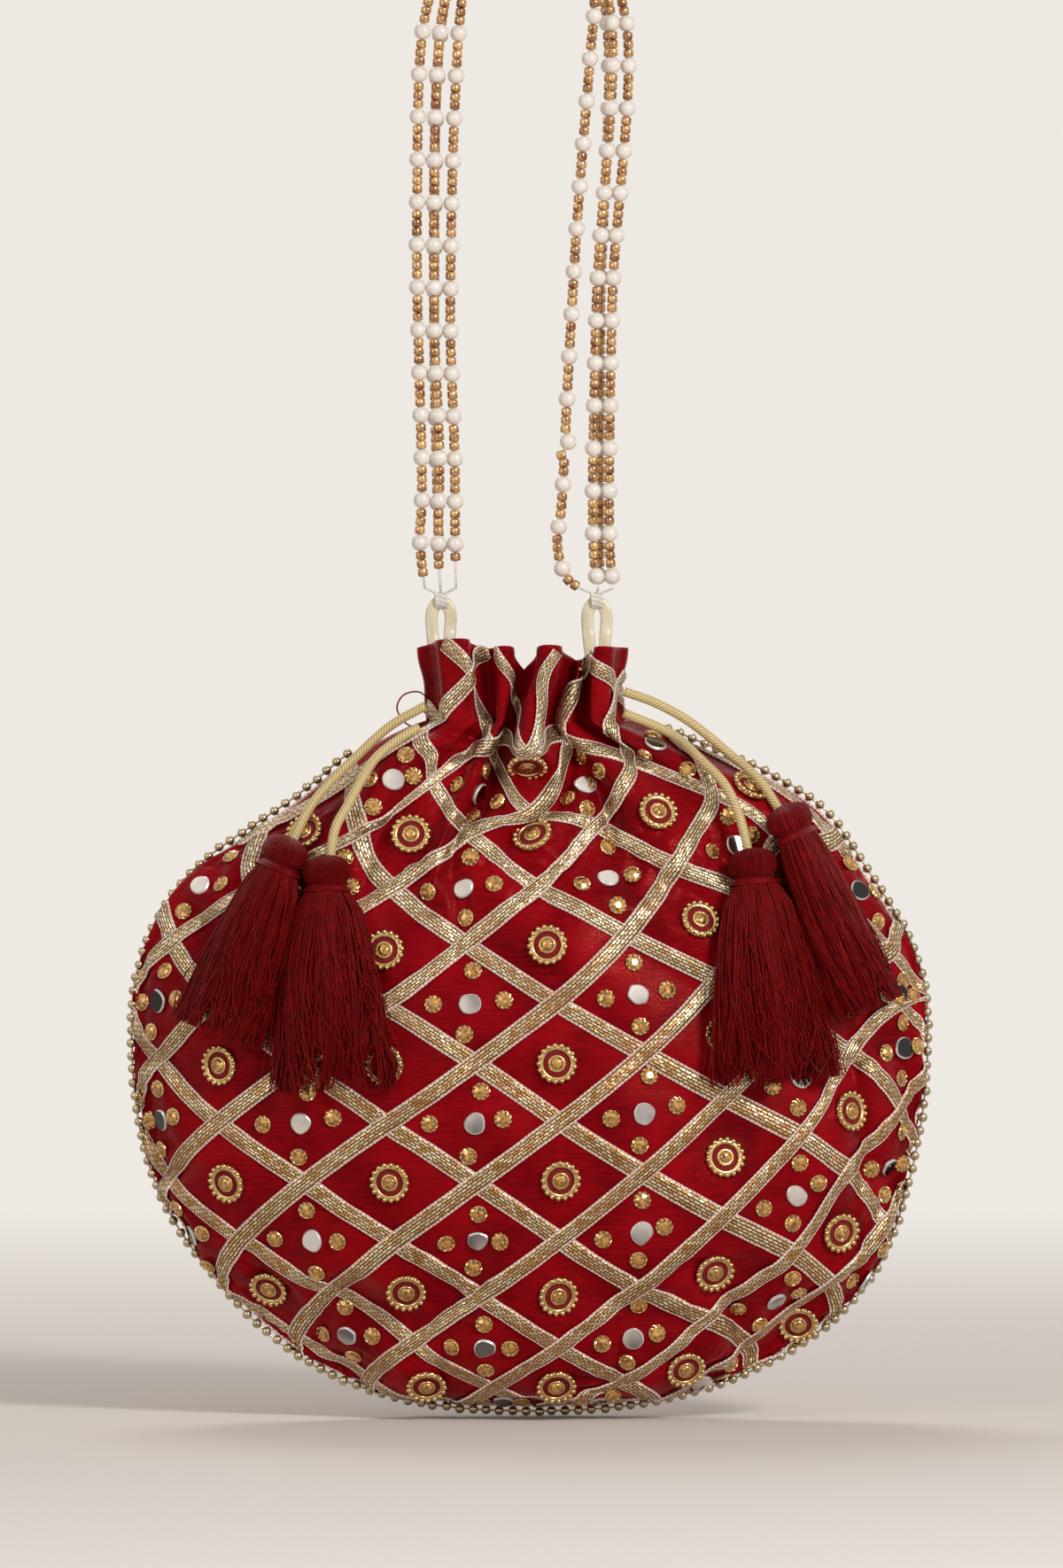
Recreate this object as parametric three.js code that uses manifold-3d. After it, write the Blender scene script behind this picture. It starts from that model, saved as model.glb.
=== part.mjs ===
// A potli bag: two puffed satin panels seamed round the edge, gathered at a drawstring neck, hung by its bead handle.
// Millimetres, +Z up, the front faces -Y. The origin is the point where the handle is held.
// Heights in the code are measured up from the bag's lowest point.
import * as THREE from 'three';
import Module from 'manifold-3d';
import { mergeVertices } from 'three/addons/utils/BufferGeometryUtils.js';

const wasm = await Module();
wasm.setup();

// Bag body
const holdHeight = 415;
const bagWidth = 221;
const bellyHeight = 109;
const channelHeight = 193;
const bagDepth = 68;
const deepestHeight = 85;
const clothThickness = 1.2;
const clearance = 0.3;
const seamGap = 0.4;
const outlineRoundness = 2.4;
const shoulderRoundness = 0.85;
const shoulderLean = 8;
const shoulderLeanHeight = 170;
const shoulderLeanReach = 15;
const bodyLean = 7;
const bodyLeanFrom = 95;
const bodyLeanTo = 165;
const footLean = 4;
const footLeanHeight = 30;
const footLeanReach = 25;

// Gathered neck and ruffle
const neckWidth = 55;
const neckDepth = 22;
const ruffleHeight = 23;
const ruffleFlare = 2;
const gatherDepth = 6.5;
const gatherReach = 30;
const gatherRoll = 0.09;
const creaseDip = 2.5;
const foldFullness = 0.65;

// Folds of the neck, left to right: their edges across at the casing and at the ruffle's top, how far each stands
// out below and above the casing, and how far its top edge lies under the highest one
const casingEdges = [-1, -0.31, -0.16, 0.27, 0.56, 1];
const ruffleEdges = [-1, -0.34, 0.01, 0.5, 0.57, 1];
const foldsBelow = [1, 0.7, 0.8, 0.6, 0.95];
const foldsAbove = [1, 0.65, 1.3, 0.5, 0.95];
const foldTops = [0, 2.5, 3, 2.5, 2];

// Cut cloth, before it is gathered and puffed
const flatWidth = 266;
const flatNeckWidth = 156;
const flatBottomDrop = 24;
const flatNeckRise = 5;

// Ribbon lattice
const diamondWidth = 46.4;
const diamondHeight = 32.5;
const latticeAcross = 3.5;
const latticeUp = 97.5;
const ribbonWidth = 5.5;
const ribbonThickness = 0.5;
const crossingRise = 0.35;
const ribbonSlack = 0.9;
const bodySlackShare = 0.6;
const ribbonTop = 179;
const ribbonReach = 0.96;
const openStep = 15;
const openFrom = 30;
const openTo = 140;
const openReach = 0.62;
const edgeStep = 7.5;
const neckStep = 3.75;
const neckFrom = 148;
const shortestClimb = 20;

// Ring and mirror motifs, as low domes on the panels
const ringDiameter = 12;
const mirrorDiameter = 7;
const ringRise = 1.7;
const mirrorRise = 1.2;
const motifSink = 0.9;
const motifReach = 0.84;
const motifSides = 6;

// Edging, drawstrings, tassels, loops and handle
const edgingDiameter = 2.8;
const edgingLeftEnd = 182;
const edgingRightEnd = 189;
const edgingOutset = 0.5;
const drawstringDiameter = 2.7;
const drawstringStart = 6.1;
const drawstringRaise = 6.3;
const tasselHeadLength = 9;
const tasselHeadWidth = 13;
const tasselNeckWidth = 10.4;
const tasselDepth = 10;
const bindingHeight = 1.8;
const bindingThickness = 0.8;
const loopDiameter = 2.6;
const loopWidth = 6;
const loopTop = channelHeight + 35;
const loopFoot = channelHeight + 16;
const strandDiameter = 4;
const tieThickness = 1.6;

// Where the hanging cloth slides off its even lie, towards the right seam: up below, and back down above the fold
const sideLift = 19;
const sideLiftFrom = 0;
const sideLiftTo = 96;
const sideDrop = 22;
const sideDropFrom = 84;
const sideDropTo = 124;
const sideDropAbove = 88;
const sideDropFade = 36;
const sideTuck = 7;
const sideTuckFrom = 70;
const sideTuckTo = 100;
const sideLiftCurve = 1.6;

// Where the cloth is drawn down under the middle fold, so that the pattern lies lower there
const middleDrop = 11;
const middleDropFrom = 158;
const middleDropTo = 182;
const middleDropReach = 25;

const material = (name, color, roughness, metalness = 0) =>
  new THREE.MeshStandardMaterial({ name, color, roughness, metalness });
const satin = material('satin', '#9b0f1e', 0.4);
const gota = material('gota', '#c9a765', 0.35, 0.7);
const edgingMetal = material('edging_beads', '#a8997a', 0.3, 0.9);
const cordSatin = material('cord_satin', '#d9c07a', 0.45);
const tasselThread = material('tassel_thread', '#8a0610', 0.7);
const pearlBeads = material('pearl_beads', '#e9e2d6', 0.3);
const tieThread = material('tie_thread', '#efe8dc', 0.7);

// Small helpers
const smooth = (from, to, value) => THREE.MathUtils.smoothstep(value, from, to);
const lerp = THREE.MathUtils.lerp;

// The bag's outline: half its width, and its middle, at a height
function halfWidth(height) {
  const widest = bagWidth / 2;
  const neck = neckWidth / 2;
  if (height <= bellyHeight) {
    const below = Math.min(1, (bellyHeight - height) / bellyHeight);
    return widest * (1 - below ** outlineRoundness) ** (1 / outlineRoundness);
  }
  if (height >= channelHeight) {
    return neck + (ruffleFlare * (height - channelHeight)) / ruffleHeight;
  }
  const above = (height - bellyHeight) / (channelHeight - bellyHeight);
  return neck + (widest - neck) * (1 - above ** 2) ** shoulderRoundness;
}

function middle(height) {
  const bodyOffset = 2 * (1 - smooth(bellyHeight, channelHeight, height));
  const shoulder = ((height - shoulderLeanHeight) / shoulderLeanReach) ** 2;
  const foot = ((height - footLeanHeight) / footLeanReach) ** 2;
  return bodyOffset + shoulderLean * Math.exp(-shoulder) + footLean * Math.exp(-foot);
}

// How far each panel puffs out at a height
function puff(height) {
  const deepest = bagDepth / 2;
  const neck = neckDepth / 2;
  if (height <= deepestHeight) {
    const below = Math.min(1, (deepestHeight - height) / deepestHeight);
    return deepest * Math.sqrt(1 - below ** 2);
  }
  if (height >= channelHeight) {
    return neck + (ruffleFlare * (height - channelHeight)) / ruffleHeight;
  }
  const above = (height - deepestHeight) / (channelHeight - deepestHeight);
  return neck + (deepest - neck) * (1 - above ** 2) ** shoulderRoundness;
}

// The smooth panel without its gathers: its depth from the seam plane at a place across and up
function puffAt(x, height) {
  const across = (x - middle(height)) / Math.max(0.001, halfWidth(height));
  const roundness = lerp(0.72, 0.5, smooth(bellyHeight, channelHeight, height));
  return puff(height) * Math.max(0, 1 - across ** 2) ** roundness;
}

// The cut cloth: half its width at a place up it, and the height it hangs at
function clothHalfWidth(up) {
  const widest = flatWidth / 2;
  const neck = flatNeckWidth / 2;
  if (up <= bellyHeight) {
    const below = Math.min(1, (bellyHeight - up) / (bellyHeight + flatBottomDrop));
    return widest * (1 - below ** outlineRoundness) ** (1 / outlineRoundness);
  }
  const above = Math.min(1, (up - bellyHeight) / (channelHeight + flatNeckRise - bellyHeight));
  return neck + (widest - neck) * (1 - above ** 2) ** shoulderRoundness;
}

function clothHeight(up) {
  if (up <= bellyHeight) {
    const fullDrop = bellyHeight + flatBottomDrop;
    const below = (bellyHeight - up) / fullDrop;
    const stretch = fullDrop / bellyHeight;
    return bellyHeight * (1 - stretch * below + (stretch - 1) * below ** 5);
  }
  const span = channelHeight + flatNeckRise - bellyHeight;
  const above = Math.min(1, (up - bellyHeight) / span);
  return up - flatNeckRise * above ** 3;
}

// The line that the cloth's middle hangs on
function clothMiddle(height) {
  return bodyLean * (1 - smooth(bodyLeanFrom, bodyLeanTo, height));
}

// The edges of the folds so far up the cloth, which run from the casing's places to the ruffle's
function foldEdges(up) {
  const above = smooth(channelHeight, channelHeight + ruffleHeight, up);
  return casingEdges.map((edge, k) => lerp(edge, ruffleEdges[k], above));
}

// Gathers: how far out the cloth stands, its lean sideways, and how much its top edge dips
function gatherAt(across, up) {
  const edges = foldEdges(up);
  const fold = Math.min(foldsAbove.length - 1, edges.filter((edge) => edge <= across).length - 1);
  const width = edges[fold + 1] - edges[fold];
  const turn = (2 * Math.PI * (across - edges[fold])) / width;
  const crest = ((1 - Math.cos(turn)) / 2) ** foldFullness;
  const overCasing = smooth(channelHeight - 11, channelHeight - 1, up);
  const atTop = smooth(topUp - 16, topUp, up);
  return {
    rise: crest * lerp(foldsBelow[fold], foldsAbove[fold], overCasing),
    roll: (width * neckWidth * Math.sin(2 * turn)) / 2,
    dip: atTop * lerp(creaseDip, foldTops[fold], crest),
  };
}

function gatherStrength(up) {
  const below = Math.max(0, channelHeight + flatNeckRise - up) / gatherReach;
  return Math.exp(-(below ** 1.4));
}

// A point of a panel's outer face, given by the cloth: across from -1 to 1, and up in millimetres
// side is -1 for the front panel and 1 for the back one; lift raises the point off the cloth
function panelPoint(side, across, up, lift = 0) {
  const edgeFade = 1 - across ** 8;
  const height = Math.max(0, clothHeight(up));
  const bodyShare = 1 - smooth(bellyHeight, channelHeight, height);
  const bulge = 1 + (flatWidth / bagWidth - 1) * bodyShare;
  const even = bulge * across - (bulge - 1) * across ** 5;
  const widthShare = Math.min(1, (2 * halfWidth(height)) / neckWidth);
  const shift = (clothMiddle(height) - middle(height)) * (1 - across ** 2) ** 2 * widthShare;
  const baseX = middle(height) + halfWidth(height) * even + shift;
  const gather = gatherAt(across, up);
  const strength = gatherStrength(up);
  const x = baseX + gatherRoll * gather.roll * strength * edgeFade;
  const depth = puffAt(baseX, height) + gatherDepth * (2 * gather.rise - 0.9) * strength * edgeFade;
  const y = side * (seamGap / 2 + Math.max(0, depth));
  const point = new THREE.Vector3(x, y, height - gather.dip * edgeFade - holdHeight);
  if (lift === 0) {
    return point;
  }
  return point.addScaledVector(baseNormal(side, baseX, height), lift);
}

// The outward direction of the smooth panel, gathers left out, so that folds keep clear of one another
function baseNormal(side, x, height) {
  const step = 0.5;
  const reach = 0.985 * halfWidth(height);
  const inX = THREE.MathUtils.clamp(x, middle(height) - reach, middle(height) + reach);
  const inZ = Math.max(2, height);
  const slopeX = (puffAt(inX + step, inZ) - puffAt(inX - step, inZ)) / (2 * step);
  const slopeZ = (puffAt(inX, inZ + step) - puffAt(inX, inZ - step)) / (2 * step);
  return new THREE.Vector3(-slopeX, side, -slopeZ).normalize();
}

// One closed body from two facing grids of points, outer and inner, joined round their rims
function closedSheet(columns, rows, outerAt, innerAt) {
  const positions = [];
  const faces = [];
  const index = (layer, i, j) => layer * (columns + 1) * (rows + 1) + j * (columns + 1) + i;
  for (const pointAt of [outerAt, innerAt]) {
    for (let j = 0; j <= rows; j++) {
      for (let i = 0; i <= columns; i++) {
        positions.push(...pointAt(i, j).toArray());
      }
    }
  }
  const quad = (a, b, c, d) => faces.push(a, b, c, a, c, d);
  for (let j = 0; j < rows; j++) {
    for (let i = 0; i < columns; i++) {
      quad(index(0, i, j), index(0, i + 1, j), index(0, i + 1, j + 1), index(0, i, j + 1));
      quad(index(1, i, j), index(1, i, j + 1), index(1, i + 1, j + 1), index(1, i + 1, j));
    }
    quad(index(0, 0, j), index(0, 0, j + 1), index(1, 0, j + 1), index(1, 0, j));
    quad(index(0, columns, j), index(1, columns, j), index(1, columns, j + 1), index(0, columns, j + 1));
  }
  for (let i = 0; i < columns; i++) {
    quad(index(0, i, rows), index(0, i + 1, rows), index(1, i + 1, rows), index(1, i, rows));
    quad(index(0, i, 0), index(1, i, 0), index(1, i + 1, 0), index(0, i + 1, 0));
  }
  return bodyFrom(positions, faces);
}

// A closed body from a stack of rings of points, capped at both ends
function closedRings(rings) {
  const count = rings[0].length;
  const positions = rings.flat().flatMap((point) => point.toArray());
  const faces = [];
  for (let j = 0; j < rings.length - 1; j++) {
    for (let i = 0; i < count; i++) {
      const next = (i + 1) % count;
      faces.push(j * count + i, j * count + next, (j + 1) * count + next);
      faces.push(j * count + i, (j + 1) * count + next, (j + 1) * count + i);
    }
  }
  const last = (rings.length - 1) * count;
  for (let i = 1; i < count - 1; i++) {
    faces.push(0, i + 1, i);
    faces.push(last, last + i, last + i + 1);
  }
  return bodyFrom(positions, faces);
}

// Merge shared corners, drop flat faces and turn the body's faces outwards
function bodyFrom(positions, faces) {
  let geometry = new THREE.BufferGeometry();
  geometry.setAttribute('position', new THREE.Float32BufferAttribute(positions, 3));
  geometry.setIndex(faces);
  geometry = mergeVertices(geometry, 1e-3);
  const merged = Array.from(geometry.index.array);
  const kept = [];
  for (let k = 0; k < merged.length; k += 3) {
    const [a, b, c] = merged.slice(k, k + 3);
    if (a !== b && b !== c && a !== c) {
      kept.push(a, b, c);
    }
  }
  if (enclosedVolume(geometry, kept) < 0) {
    kept.reverse();
  }
  geometry.setIndex(kept);
  return geometry;
}

function enclosedVolume(geometry, faces) {
  const place = geometry.getAttribute('position');
  const corner = (k) => new THREE.Vector3().fromBufferAttribute(place, faces[k]);
  let volume = 0;
  for (let k = 0; k < faces.length; k += 3) {
    volume += corner(k).dot(corner(k + 1).cross(corner(k + 2))) / 6;
  }
  return volume;
}

function toSolid(geometry) {
  const vertProperties = new Float32Array(geometry.getAttribute('position').array);
  const triVerts = new Uint32Array(geometry.index.array);
  return new wasm.Manifold(new wasm.Mesh({ numProp: 3, vertProperties, triVerts }));
}

function fromSolid(solid) {
  const mesh = solid.getMesh();
  const geometry = new THREE.BufferGeometry();
  geometry.setAttribute('position', new THREE.Float32BufferAttribute(mesh.vertProperties, 3));
  geometry.setIndex(Array.from(mesh.triVerts));
  return geometry;
}

// A round cord along a smooth line through its points
function cordGeometry(points, diameter, steps, quarterSides = 4) {
  const section = new THREE.Shape();
  section.absarc(0, 0, diameter / 2, 0, 2 * Math.PI);
  const path = new THREE.CatmullRomCurve3(points, false, 'centripetal');
  const tube = new THREE.ExtrudeGeometry(section, { steps, curveSegments: quarterSides, extrudePath: path, bevelEnabled: false });
  tube.deleteAttribute('normal');
  tube.deleteAttribute('uv');
  return mergeVertices(tube, 1e-3);
}

const group = new THREE.Group();
function add(name, geometry, surface) {
  const mesh = new THREE.Mesh(geometry, surface);
  mesh.name = name;
  group.add(mesh);
  return mesh;
}

// Panels: cloth shells, closer rows where the cloth turns in at the foot and at the neck
const lowestUp = -flatBottomDrop;
const ruffleUp = channelHeight + flatNeckRise;
const topUp = ruffleUp + ruffleHeight;

function panelRows() {
  const rows = [];
  const bodyRows = 12;
  for (let k = 0; k <= bodyRows; k++) {
    const turn = (Math.PI / 2) * (k / bodyRows);
    rows.push(bellyHeight + 48 - (bellyHeight + 48 - lowestUp) * Math.cos(turn) ** 1.2);
  }
  for (const below of [28, 18, 10, 4, 0, -8, -16, -ruffleHeight]) {
    rows.push(ruffleUp - below);
  }
  return rows;
}

// Columns follow the folds, more of them to the wide folds; column 0 and the last one run along the seam
const perFold = [6, 3, 5, 3, 5];
const columnCount = perFold.reduce((sum, count) => sum + count, 0);

function columnAcross(column, up) {
  const edges = foldEdges(up);
  let fold = 0;
  let left = column;
  while (fold < perFold.length - 1 && left > perFold[fold]) {
    left -= perFold[fold];
    fold += 1;
  }
  return lerp(edges[fold], edges[fold + 1], left / perFold[fold]);
}

function panelShell(side) {
  const rows = panelRows();
  const at = (i, j, lift) => panelPoint(side, columnAcross(i, rows[j]), rows[j], lift);
  const inner = (i, j) => {
    const point = at(i, j, -clothThickness);
    const onSeam = i === 0 || i === columnCount || j === 0;
    point.y = onSeam ? (side * seamGap) / 2 : side * Math.max(seamGap, side * point.y);
    return point;
  };
  return closedSheet(columnCount, rows.length - 1, (i, j) => at(i, j, 0), inner);
}

// Where a place of the drawn pattern lies on the hanging cloth: across from -1 to 1, and up
function patternOnCloth(x, up) {
  const lift = THREE.MathUtils.clamp((x - sideLiftFrom) / (sideLiftTo - sideLiftFrom), 0, 1) ** sideLiftCurve;
  const drop = smooth(sideDropFrom, sideDropTo, x) * smooth(sideDropAbove, sideDropAbove + sideDropFade, up);
  const nearMiddle = Math.exp(-(((x - latticeAcross) / middleDropReach) ** 2));
  const drawnDown = middleDrop * smooth(middleDropFrom, middleDropTo, up) * nearMiddle;
  const hangUp = up + sideLift * lift - sideDrop * drop - drawnDown;
  const hangX = x - sideTuck * smooth(sideTuckFrom, sideTuckTo, x);
  return [hangX / Math.max(1, clothHalfWidth(hangUp)), hangUp];
}

// Ribbons: two families of straight strips on the cut cloth, crossing to leave diamonds
function ribbonStations(slope, offset) {
  const stations = [];
  let up = lowestUp - sideLift;
  while (up <= ribbonTop + middleDrop) {
    const rows = (up - latticeUp) / (diamondHeight / 2);
    const x = latticeAcross + (diamondWidth / 2) * (offset + slope * rows);
    const [across, hangUp] = patternOnCloth(x, up);
    const inHeight = hangUp > lowestUp + 2 * ribbonWidth && hangUp < ribbonTop;
    const onCloth = Math.abs(across) < ribbonReach && inHeight;
    if (onCloth) {
      stations.push([x, up]);
    }
    const nearlyFlat = Math.abs(across) < openReach && hangUp > openFrom && hangUp < openTo;
    const closeStep = hangUp > neckFrom ? neckStep : edgeStep;
    up += nearlyFlat ? openStep : closeStep * (onCloth ? 1 : 0.25);
  }
  return stations;
}

function ribbonGeometry(side, slope, stations, thickness) {
  const length = Math.hypot(diamondWidth, diamondHeight);
  const aside = [(ribbonWidth / 2) * (diamondHeight / length), (ribbonWidth / 2) * (-slope * diamondWidth) / length];
  const at = (raise) => (i, j) => {
    const [x, up] = stations[j];
    const turn = i === 0 ? -1 : 1;
    const [across, hangUp] = patternOnCloth(x + turn * aside[0], up + turn * aside[1]);
    const slack = ribbonSlack * (bodySlackShare + gatherStrength(hangUp));
    return panelPoint(side, THREE.MathUtils.clamp(across, -0.985, 0.985), Math.max(lowestUp, hangUp), raise + slack);
  };
  return closedSheet(1, stations.length - 1, at(clearance + thickness), at(clearance));
}

function latticeGeometry(side) {
  let lattice = null;
  for (const slope of [-1, 1]) {
    const thickness = slope > 0 ? ribbonThickness + crossingRise : ribbonThickness;
    for (let offset = -21; offset <= 21; offset += 2) {
      const stations = ribbonStations(slope, offset);
      const climb = stations.length > 1 ? stations.at(-1)[1] - stations[0][1] : 0;
      if (climb < shortestClimb) {
        continue;
      }
      const strip = toSolid(ribbonGeometry(side, slope, stations, thickness));
      lattice = lattice ? lattice.add(strip) : strip;
    }
  }
  return fromSolid(lattice);
}

// A low six-sided dome on the panel at a place of the pattern, lying on the panel's own flat faces
function motifDome(side, x, up, diameter, rise) {
  const reach = diameter / 2;
  const at = (dx, dUp) => {
    const [across, hangUp] = patternOnCloth(x + dx, up + dUp);
    return panelPoint(side, across, hangUp);
  };
  const corners = [at(-reach, 0), at(reach, 0), at(0, -reach), at(0, reach)];
  const middleOf = corners.reduce((sum, corner) => sum.addScaledVector(corner, 0.25), new THREE.Vector3());
  const along = corners[1].clone().sub(corners[0]).normalize();
  const out = corners[3].clone().sub(corners[2]).cross(along).multiplyScalar(-side).normalize();
  out.multiplyScalar(Math.sign(out.y * side));
  const beside = out.clone().cross(along);
  const rings = [[-motifSink, 1], [rise, 0.8]].map(([level, share]) => {
    const ring = [];
    for (let k = 0; k < motifSides; k++) {
      const turn = (2 * Math.PI * (k + 0.5)) / motifSides;
      ring.push(middleOf.clone().addScaledVector(out, level)
        .addScaledVector(along, share * reach * Math.cos(turn))
        .addScaledVector(beside, share * reach * Math.sin(turn)));
    }
    return ring;
  });
  return toSolid(closedRings(rings));
}

// A panel with its motifs: rings in every other diamond, mirrors in the ones between
function panelGeometry(side) {
  let panel = toSolid(panelShell(side));
  for (let column = -6; column <= 6; column++) {
    const isRing = column % 2 === 0;
    for (let row = -4; row <= 3; row++) {
      const x = latticeAcross + (column * diamondWidth) / 2;
      const up = latticeUp + diamondHeight * (row + (isRing ? 0 : 0.5));
      const [across, hangUp] = patternOnCloth(x, up);
      const fits = Math.abs(across) < motifReach && hangUp > lowestUp + 2.5 * ringDiameter && hangUp < ribbonTop;
      if (fits) {
        const dome = isRing
          ? motifDome(side, x, up, ringDiameter, ringRise)
          : motifDome(side, x, up, mirrorDiameter, mirrorRise);
        panel = panel.add(dome);
      }
    }
  }
  return fromSolid(panel);
}

// Edging along the seam, from the left shoulder round the foot to the right shoulder
function edgingGeometry() {
  const points = [];
  const count = 40;
  const outset = edgingDiameter / 2 + edgingOutset;
  for (let k = 0; k <= count; k++) {
    const turn = (2 * k) / count - 1;
    const top = turn < 0 ? edgingLeftEnd : edgingRightEnd;
    const height = top * (1 - Math.cos((Math.PI / 2) * Math.abs(turn)));
    points.push(seamPoint(Math.sign(turn), height, outset));
  }
  return cordGeometry(points, edgingDiameter, 64, 3);
}

function seamPoint(edge, height, outset) {
  const step = 0.5;
  const low = Math.max(0, height - step);
  const side = edge || 1;
  const slope = (halfWidth(height + step) - halfWidth(low)) / (height + step - low);
  const turn = height < 1 ? new THREE.Vector2(0, -1) : new THREE.Vector2(1, -slope).normalize();
  const x = middle(height) + side * (halfWidth(height) * Math.abs(edge) + outset * turn.x);
  return new THREE.Vector3(x, 0, height + outset * turn.y - holdHeight);
}

// The place on the cloth that hangs at a given x and height, found by stepping towards it
function clothAt(x, height) {
  let across = (x - middle(height)) / halfWidth(height);
  let up = height;
  for (let step = 0; step < 25; step++) {
    across = THREE.MathUtils.clamp(across, -0.999, 0.999);
    const here = panelPoint(-1, across, up);
    across += (0.6 * (x - here.x)) / (halfWidth(height) + 10);
    up += 0.6 * (height - (here.z + holdHeight));
  }
  return [THREE.MathUtils.clamp(across, -0.999, 0.999), up];
}

// A point off the front cloth, for what lies on it
function onFront(x, height, raise) {
  const [across, up] = clothAt(x, height);
  const cloth = panelPoint(-1, across, up);
  return new THREE.Vector3(x, cloth.y - raise, height - holdHeight);
}

// Drawstring ends, from the neck's sides over the shoulders to the tassels: x and height of each point
const drawstringRoutes = {
  left_outer: [[-27.4, 197], [-37, 191.5], [-46.5, 183], [-54.5, 175], [-60, 168]],
  left_inner: [[-29.2, 191], [-35, 187.4], [-41, 182.5], [-45, 176.5], [-49, 169], [-52.6, 162]],
  right_inner: [[28.4, 195], [42, 189], [50, 181.8], [56.8, 174.5], [61, 165]],
  right_outer: [[28.6, 201], [37, 198], [47, 192.5], [58, 183.6], [66.5, 176]],
};

// Tassels: where each hangs from and to, how wide it fans, and how far it lies off the cloth
const tassels = {
  left_outer: { from: [-65, 160], to: [-85, 107], fan: 24, raise: 2.4 },
  left_inner: { from: [-55, 155], to: [-53, 92], fan: 33, raise: 2.2 },
  right_inner: { from: [64, 157], to: [70.5, 94], fan: 33, raise: 2.9 },
  right_outer: { from: [73, 169], to: [97, 114], fan: 18, raise: 2.6 },
};

function tasselLength(tassel) {
  return Math.hypot(tassel.to[0] - tassel.from[0], tassel.to[1] - tassel.from[1]);
}

// The point on a tassel's axis just above its head
function tasselAxis(tassel, above) {
  const raise = tassel.raise + bindingThickness + tasselNeckWidth / 2;
  const point = onFront(...tassel.from, raise);
  const length = tasselLength(tassel);
  point.x += (above * (tassel.from[0] - tassel.to[0])) / length;
  point.z += (above * (tassel.from[1] - tassel.to[1])) / length;
  return point;
}

function tasselSection(tassel, along, grow = 0) {
  const length = tasselLength(tassel);
  const distance = along * length;
  const headShare = distance / tasselHeadLength;
  const skirtTop = 1.2 * tasselHeadLength;
  const spread = Math.sqrt(Math.max(0, distance - skirtTop) / (length - skirtTop));
  let width = lerp(tasselNeckWidth, tassel.fan, spread);
  let depth = lerp(tasselNeckWidth, tasselDepth, spread);
  if (headShare < 0.85) {
    const barrel = Math.sqrt(Math.max(0.06, 1 - Math.abs(1 - headShare / 0.48) ** 2.6));
    width = tasselHeadWidth * barrel;
    depth = tasselNeckWidth * barrel;
  }
  const x = lerp(tassel.from[0], tassel.to[0], along);
  const height = lerp(tassel.from[1], tassel.to[1], along);
  const raise = tassel.raise + (tasselNeckWidth - Math.min(depth, tasselNeckWidth)) / 2 + bindingThickness;
  const ring = [];
  const sides = 12;
  const tilt = new THREE.Vector2(tassel.to[1] - tassel.from[1], tassel.from[0] - tassel.to[0]).normalize();
  for (let k = 0; k < sides; k++) {
    const turn = (2 * Math.PI * k) / sides;
    const out = (width / 2 + grow) * Math.cos(turn);
    const px = x + out * tilt.x;
    const pz = height + out * tilt.y;
    ring.push(onFront(px, pz, raise + depth / 2 + (depth / 2 + grow) * Math.sin(turn)));
  }
  return ring;
}

function tasselGeometry(tassel) {
  const headStops = [0, 0.08, 0.22, 0.48, 0.74, 0.86, 1.2, 1.5];
  const skirtStops = [0.34, 0.5, 0.75, 1];
  const length = tasselLength(tassel);
  const stops = [...headStops.map((share) => (share * tasselHeadLength) / length), ...skirtStops];
  return closedRings(stops.map((along) => tasselSection(tassel, along)));
}

// The thread wound round a tassel's neck
function bindingGeometry(tassel) {
  const length = tasselLength(tassel);
  const start = (tasselHeadLength * 0.88) / length;
  const end = start + bindingHeight / length;
  const wall = (grow) => [start, end].map((along) => tasselSection(tassel, along, grow));
  const outer = wall(clearance + bindingThickness);
  const inner = wall(clearance);
  const sides = outer[0].length;
  const around = (rings) => (i, j) => rings[j][i % sides];
  return closedSheet(sides, 1, around(outer), around(inner));
}

for (const side of [-1, 1]) {
  const name = side < 0 ? 'front' : 'back';
  add(`${name}_panel`, panelGeometry(side), satin);
  add(`ribbon_lattice_${name}`, latticeGeometry(side), gota);
}
add('bead_edging', edgingGeometry(), edgingMetal);

for (const [name, route] of Object.entries(drawstringRoutes)) {
  const points = route.map(([x, height], order) => {
    const raise = order === 0 ? drawstringStart : drawstringRaise;
    return onFront(x, height, raise + drawstringDiameter / 2);
  });
  points.push(tasselAxis(tassels[name], 3 * clearance));
  add(`drawstring_${name}`, cordGeometry(points, drawstringDiameter, 12), cordSatin);
  add(`tassel_${name}`, tasselGeometry(tassels[name]), tasselThread);
  add(`tassel_binding_${name}`, bindingGeometry(tassels[name]), tasselThread);
}

// Satin loops at the ruffle's corners, and the thread that ties the bead strands to them
const loopPlaces = { left: -23, right: 21 };
for (const [name, x] of Object.entries(loopPlaces)) {
  const half = loopWidth / 2;
  const at = (dx, height) => new THREE.Vector3(x + dx, 0, height - holdHeight);
  const foot = (dx) => onFront(x + dx, loopFoot, -clothThickness - 8 * clearance - loopDiameter / 2);
  const points = [
    foot(-half * 0.6),
    at(-half, loopFoot + 8),
    at(-half, loopTop - 4),
    at(0, loopTop - loopDiameter / 2),
    at(half, loopTop - 4),
    at(half, loopFoot + 8),
    foot(half * 0.6),
  ];
  add(`loop_${name}`, cordGeometry(points, loopDiameter, 16), cordSatin);
  const ring = new THREE.TorusGeometry(loopDiameter / 2 + clearance + tieThickness / 2, tieThickness / 2, 6, 12);
  ring.deleteAttribute('normal');
  ring.deleteAttribute('uv');
  const tie = add(`handle_tie_${name}`, mergeVertices(ring, 1e-3), tieThread);
  tie.rotation.y = Math.PI / 2;
  tie.position.set(x, 0, loopTop - loopDiameter / 2 - holdHeight);
}

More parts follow.
